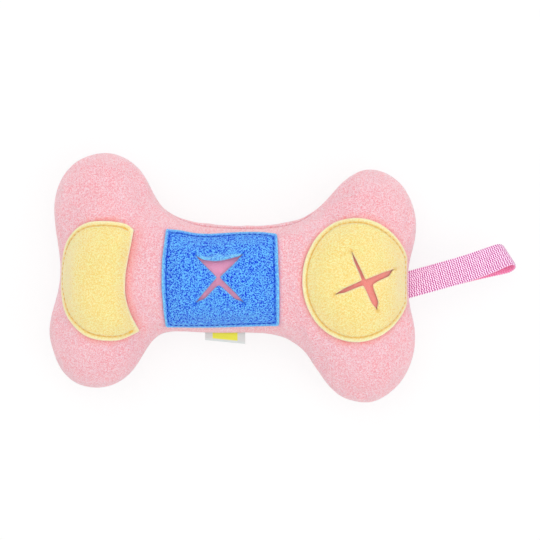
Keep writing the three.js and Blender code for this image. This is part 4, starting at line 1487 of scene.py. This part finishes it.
class PLUSH_OT_round_pocket(bpy.types.Operator):
    """Makes the round pocket, with its turned cross cut"""

    bl_idname = "plush.round_pocket"
    bl_label = "Round pocket"

    def execute(self, context):
        outline = disc_outline()
        obj = make_pocket(
            "round_pocket", "round_patch", outline, closed_line(outline), stitch_line(outline),
            "yellow_fleece", *cross_of(DISC_CROSS, DISC_TIPS), DISC_DRAWS, DISC_LIFTS,
        )
        paint(obj, yellow_fleece())
        return {"FINISHED"}


class PLUSH_OT_crescent_pocket(bpy.types.Operator):
    """Makes the crescent pocket, open along its inner curve"""

    bl_idname = "plush.crescent_pocket"
    bl_label = "Crescent pocket"

    def execute(self, context):
        obj = make_pocket(
            "crescent_pocket_cloth", "crescent_pocket", crescent_outline(), crescent_lines()[0],
            crescent_stitches(), "yellow_fleece",
        )
        paint(obj, yellow_fleece())
        return {"FINISHED"}


def yellow_fleece():
    return bpy.data.materials.get("yellow_pile") or fleece_finish("yellow", 0.4 * MM, 1400, 0.085, 1.0)


# The least share of its inset that stitching keeps on a slope, over how many points the inset is
# evened out, and how much of the inset a point must have left at a corner
STEEPEST_LEVEL = 0.28
STITCH_EASING = 6
KEPT_SHARE = 0.96

# How far past its inset a point still counts as beside the arc or the mouth
INSET_SLACK = 1.04


def stitch_line(outline):
    """The closed line of stitching inside a pocket's cut edge, nearer to it where the body falls
    away from the eye."""
    line = spaced(outline, 1 * MM, closed=True)
    _, normals = Ground(bpy.data.objects["front_cover"]).place(line, np.zeros(len(line)))
    level = np.clip(normals[:, 2], STEEPEST_LEVEL, 1)
    nearby = range(-STITCH_EASING, STITCH_EASING + 1)
    level = np.mean([np.roll(level, step) for step in nearby], axis=0)
    distance = settings().pockets.stitch_inset * level
    moved = inset(line, distance)
    return closed_line(moved[outline_distance(moved, line) > distance * KEPT_SHARE])


def crescent_stitches():
    """The stitching along the crescent's arc, which stops short of the open mouth."""
    moved = stitch_line(crescent_outline())
    most = settings().pockets.stitch_inset * INSET_SLACK
    beside_arc, beside_mouth = (line_distance(moved, line) < most for line in crescent_lines())
    on_arc = beside_arc & ~beside_mouth
    start = int(np.argmax(~on_arc))
    ordered = np.roll(moved[:-1], -start, axis=0)
    keep = np.roll(on_arc[:-1], -start)
    return ordered[keep]


# How far a stitch's middle stands out of the cloth, in thicknesses
STITCH_RISE = 0.15


class PLUSH_OT_stitches(bpy.types.Operator):
    """Sews the pockets down and closes the seam"""

    bl_idname = "plush.stitches"
    bl_label = "Stitches"

    def execute(self, context):
        thread = settings().stitches
        shape = stitch_shape(thread.length, thread.thickness)
        pitch = thread.length + thread.gap
        square, disc = stitch_line(square_outline()), stitch_line(disc_outline())
        rows = (
            ("square_stitches", "square_patch_thread", "square_pocket", square, "blue_thread"),
            ("round_stitches", "round_patch_thread", "round_pocket", disc, "yellow_thread"),
            (
                "crescent_stitches", "crescent_pocket_thread", "crescent_pocket_cloth",
                crescent_stitches(), "yellow_thread",
            ),
        )
        colours = {"blue_thread": thread.blue, "yellow_thread": thread.yellow}
        finishes = {slot: thread_finish(slot, tuple(shade)) for slot, shade in colours.items()}
        for name, node, cloth, line, slot in rows:
            places = seat_stitches(line, bpy.data.objects[cloth], pitch, thread.thickness * STITCH_RISE)
            if name == "crescent_stitches":
                places = bartack(places[0]) + places + bartack(places[-1])
            self.sew(name, node, shape, places, slot, finishes[slot])
        pink = thread_finish("pink_thread", tuple(thread.pink))
        places = closing_places(pitch * HAND_PITCH_SHARE)
        self.sew("closing_stitches", "closing_thread", shape, places, "pink_thread", pink)
        paint(frame["nodes"]["seam_thread"], pink)
        return {"FINISHED"}

    def sew(self, name, node, shape, places, slot, finish):
        obj = paint(lay_copies(name, shape, places), finish)
        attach(obj, TOY)
        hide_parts(node)


# The zigzag that locks the end of a row: its stitches, their slant, spacing and height
TACK_COUNT = 6
TACK_SLANT = math.radians(62)
TACK_PITCH = 0.42 * MM
TACK_HEIGHT = 0.12 * MM


def bartack(place):
    """A close zigzag over a stitch, which locks the end of a row."""
    origin, along, across, up = place
    places = []
    for step in range(TACK_COUNT):
        turn = TACK_SLANT if step % 2 else -TACK_SLANT
        slant = along * math.cos(turn) + across * math.sin(turn)
        middle = origin + along * (step - (TACK_COUNT - 1) / 2) * TACK_PITCH + up * TACK_HEIGHT
        places.append((middle, slant, np.cross(up, slant), up))
    return places


# Hand stitches are further apart and slanted, by these shares across and along the seam; and into
# how many spans the thread's line is cut to follow it
HAND_PITCH_SHARE = 1.3
HAND_ACROSS = 0.8
HAND_ALONG = 0.6
CLOSING_SPANS = 24


def closing_places(pitch):
    """Slanted stitches across the groove of the hand-sewn stretch of the seam."""
    points = points_of(frame["nodes"]["closing_thread"])
    ordered = points[np.argsort(points[:, 0])]
    groups = np.array_split(ordered, CLOSING_SPANS)
    line = np.array([group.mean(axis=0) for group in groups])
    middles, directions = along_line(line, pitch)
    places = []
    for middle, along in zip(middles, directions):
        up = np.array([0.0, 1.0, 0.0])
        across = np.cross(up, along)
        across /= np.linalg.norm(across)
        slant = across * HAND_ACROSS + along * HAND_ALONG
        slant /= np.linalg.norm(slant)
        normal = np.cross(along, across)
        normal *= math.copysign(1, normal[1])
        places.append((middle, slant, np.cross(normal, slant), normal))
    return places


# How far the loop's ends reach into the seam and its runs lie together outside it, half the gap
# between them there, and how many steps draw a rib
STRAP_TAIL = 6.6 * MM
STRAP_STRAIGHT = 1.5 * MM
STRAP_GAP = 0.15 * MM
RIB_STEPS = 5

# The same for the label, with half the distance between its layers, its opening at the fold and
# the spacing of the points along it
LABEL_TAIL = 5 * MM
LABEL_STRAIGHT = 0.65 * MM
LABEL_START = 0.33 * MM
LABEL_OPENING = 1.3 * MM
LABEL_STEP = 0.35 * MM


class PLUSH_OT_loop(bpy.types.Operator):
    """Makes the webbing loop, from inside the seam round its fold and back"""

    bl_idname = "plush.loop"
    bl_label = "Webbing loop"

    def execute(self, context):
        webbing = settings().webbing
        start = webbing.thickness / 2 + STRAP_GAP
        step = webbing.rib_pitch / RIB_STEPS
        path = band_path(STRAP_TAIL, STRAP_STRAIGHT, webbing.reach, start, webbing.opening, step)
        size = webbing.width, webbing.thickness
        obj = make_band("webbing_loop", path, *size, 45, place_strap, weave_relief)
        paint(obj, webbing_finish())
        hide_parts("strap_loop", "strap_tails")
        hinge = Vector(swing["pos_m"])
        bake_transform(obj)
        return {"FINISHED"}


class PLUSH_OT_label(bpy.types.Operator):
    """Makes the small folded side label"""

    bl_idname = "plush.label"
    bl_label = "Side label"

    def execute(self, context):
        label = settings().label
        path = band_path(LABEL_TAIL, LABEL_STRAIGHT, label.reach, LABEL_START, LABEL_OPENING, LABEL_STEP)
        obj = make_band("woven_label", path, label.width, label.thickness, 61, place_label, no_relief)
        paint(obj, label_finish())
        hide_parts("side_label", "label_tail")
        hinge = Vector(flip["pos_m"])
        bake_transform(obj)
        return {"FINISHED"}


# The mesh of a clump of fibre, the width and height of its ruffles, and how far inside the clump's
# CAD solid they stay, in ruffles
FIBRE_CELL = 2.2 * MM
RUFFLE_SIZE = 9 * MM
RUFFLE_HEIGHT = 0.5 * MM
RUFFLE_SINK = 1.2


class PLUSH_OT_fill(bpy.types.Operator):
    """Makes the clumps of fibre fill and finishes the squeaker inside"""

    bl_idname = "plush.fill"
    bl_label = "Fill and squeaker"

    def execute(self, context):
        finish = fibre_finish()
        for node in sorted(frame["nodes"]):
            if not (node.endswith("_fill") or node.startswith("shank_fill")):
                continue
            obj = merged_copy(node, node.replace("_fill", "_fibre"))
            apply(obj, "REMESH", mode="VOXEL", voxel_size=FIBRE_CELL)
            points = points_of(obj)
            ruffle = (wave_noise(points, RUFFLE_SIZE, 4) - RUFFLE_SINK) * RUFFLE_HEIGHT
            move_points(obj, points + normals_of(obj) * ruffle[:, None])
            smooth(obj)
            paint(obj, finish)
            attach(obj, TOY)
            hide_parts(node)
        shell = moulded_finish("squeaker_plastic", (0.80, 0.78, 0.72), 0.42)
        paint(frame["nodes"]["squeaker_bulb"], shell)
        paint(frame["nodes"]["squeaker_reed_holder"], shell)
        paint(frame["nodes"]["squeaker_reed"], moulded_finish("reed_plastic", (0.69, 0.69, 0.64), 0.35))
        return {"FINISHED"}


# Each lamp's name, place, width and power
LAMPS = (
    ("key", (-0.3, 0.45, 1.25), 1.3, 4.6),
    ("fill", (0.65, -0.25, 1.15), 1.4, 4.1),
)
WHITE = (1, 1, 1, 1)
SKY_STRENGTH = 0.86
FLOOR_WHITENESS = 0.8
SENSOR_WIDTH = 36.0

# The middle of the photograph's frame, from the middle of the bone
IMAGE_MIDDLE = (22.5 * MM, 4.2 * MM)


class PLUSH_OT_stage(bpy.types.Operator):
    """Sets the pale floor, the soft lights and the camera"""

    bl_idname = "plush.stage"
    bl_label = "Stage"

    def execute(self, context):
        stage = settings().stage
        scene = context.scene
        scene.view_settings.view_transform = "Standard"
        bpy.ops.object.select_all(action="DESELECT")
        bpy.ops.mesh.primitive_plane_add(size=stage.floor_size, location=(0, 0, 0))
        floor = context.object
        floor.name = "floor"
        floor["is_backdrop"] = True
        paint(floor, floor_finish())
        scene.world = scene.world or bpy.data.worlds.new("world")
        light_world(scene.world)
        for lamp in LAMPS:
            self.lamp(*lamp)
        self.place_camera(scene, stage)
        return {"FINISHED"}

    def lamp(self, name, place, size, power):
        bpy.ops.object.light_add(type="AREA", location=place)
        lamp = bpy.context.object
        lamp.name = name
        lamp.data.shape = "DISK"
        lamp.data.size = size
        lamp.data.energy = power
        aim = Vector((centre_x, centre_y, seam_height)) - lamp.location
        lamp.rotation_euler = aim.to_track_quat("-Z", "Y").to_euler()

    def place_camera(self, scene, stage):
        camera = bpy.data.objects.new("camera", bpy.data.cameras.new("camera"))
        scene.collection.objects.link(camera)
        scene.camera = camera
        camera.data.sensor_width = SENSOR_WIDTH
        camera.data.lens = SENSOR_WIDTH * stage.distance / stage.frame_width
        camera.data.clip_start = 0.01
        camera.data.clip_end = 20
        middle_x, middle_y = IMAGE_MIDDLE
        camera.location = (centre_x + middle_x, centre_y + middle_y, seam_height + stage.distance)


def floor_finish():
    """A white floor that still holds the toy's soft shadow."""
    finish = Finish("floor_white")
    grain = finish.noise(3, 2, 0.5)
    finish.set(
        Base_Color=finish.mix(grain, (0.92, 0.92, 0.92), (0.95, 0.95, 0.95)),
        Roughness=0.9,
        Specular_IOR_Level=0.1,
    )
    tree = finish.tree
    rays = finish.node("LightPath")
    seen = Value(tree, rays.outputs["Is Camera Ray"])
    for kind in ("Is Glossy Ray", "Is Transmission Ray"):
        seen = seen.math("MAXIMUM", Value(tree, rays.outputs[kind]))
    white = finish.node("Emission", Color=WHITE, Strength=1.0)
    sockets = {0: seen * FLOOR_WHITENESS, 1: finish.shader.outputs[0], 2: white.outputs[0]}
    both = finish.node("MixShader", numbered=sockets)
    connect(tree, finish.output.inputs["Surface"], both.outputs[0])
    return finish.material


def light_world(world):
    world.use_nodes = True
    nodes = Nodes(world.node_tree)
    sky = nodes.node("Background", Color=WHITE, Strength=SKY_STRENGTH)
    nodes.node("OutputWorld", Surface=sky.outputs[0])


class PLUSH_PT_panel(bpy.types.Panel):
    """Lists the makers of the toy's pieces in the sidebar"""

    bl_idname = "PLUSH_PT_panel"
    bl_label = "Plush Bone Toy"
    bl_space_type = "VIEW_3D"
    bl_region_type = "UI"
    bl_category = "Plush Bone"

    def draw(self, context):
        for maker in MAKERS:
            self.layout.operator(maker.bl_idname)
        made = context.scene.plush_bone
        for group in (made.fleece, made.pockets, made.stitches, made.webbing, made.label, made.stage):
            box = self.layout.box()
            for key in group.bl_rna.properties.keys():
                if key not in {"rna_type", "name"}:
                    box.prop(group, key)


MAKERS = (
    PLUSH_OT_stage, PLUSH_OT_covers, PLUSH_OT_square_pocket, PLUSH_OT_round_pocket,
    PLUSH_OT_crescent_pocket, PLUSH_OT_stitches, PLUSH_OT_loop, PLUSH_OT_label, PLUSH_OT_fill,
)
CLASSES = (
    FleeceSettings, PocketSettings, StitchSettings, WebbingSettings, LabelSettings, StageSettings,
    PlushBoneSettings, *MAKERS, PLUSH_PT_panel,
)


def register():
    for made in CLASSES:
        bpy.utils.register_class(made)
    bpy.types.Scene.plush_bone = bpy.props.PointerProperty(
        name="Plush bone", description="Sizes and colours of the toy", type=PlushBoneSettings,
    )


def unregister():
    del bpy.types.Scene.plush_bone
    for made in reversed(CLASSES):
        bpy.utils.unregister_class(made)


def main():
    register()
    bpy.ops.plush.stage()
    bpy.ops.plush.covers()
    bpy.ops.plush.square_pocket()
    bpy.ops.plush.round_pocket()
    bpy.ops.plush.crescent_pocket()
    bpy.ops.plush.stitches()
    bpy.ops.plush.loop()
    bpy.ops.plush.label()
    bpy.ops.plush.fill()
    visual_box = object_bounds()
    sizes = {name: [list(corner) for corner in box] for name, box in (("cad", cad_box), ("visual", visual_box))}


if __name__ == "__main__":
    main()
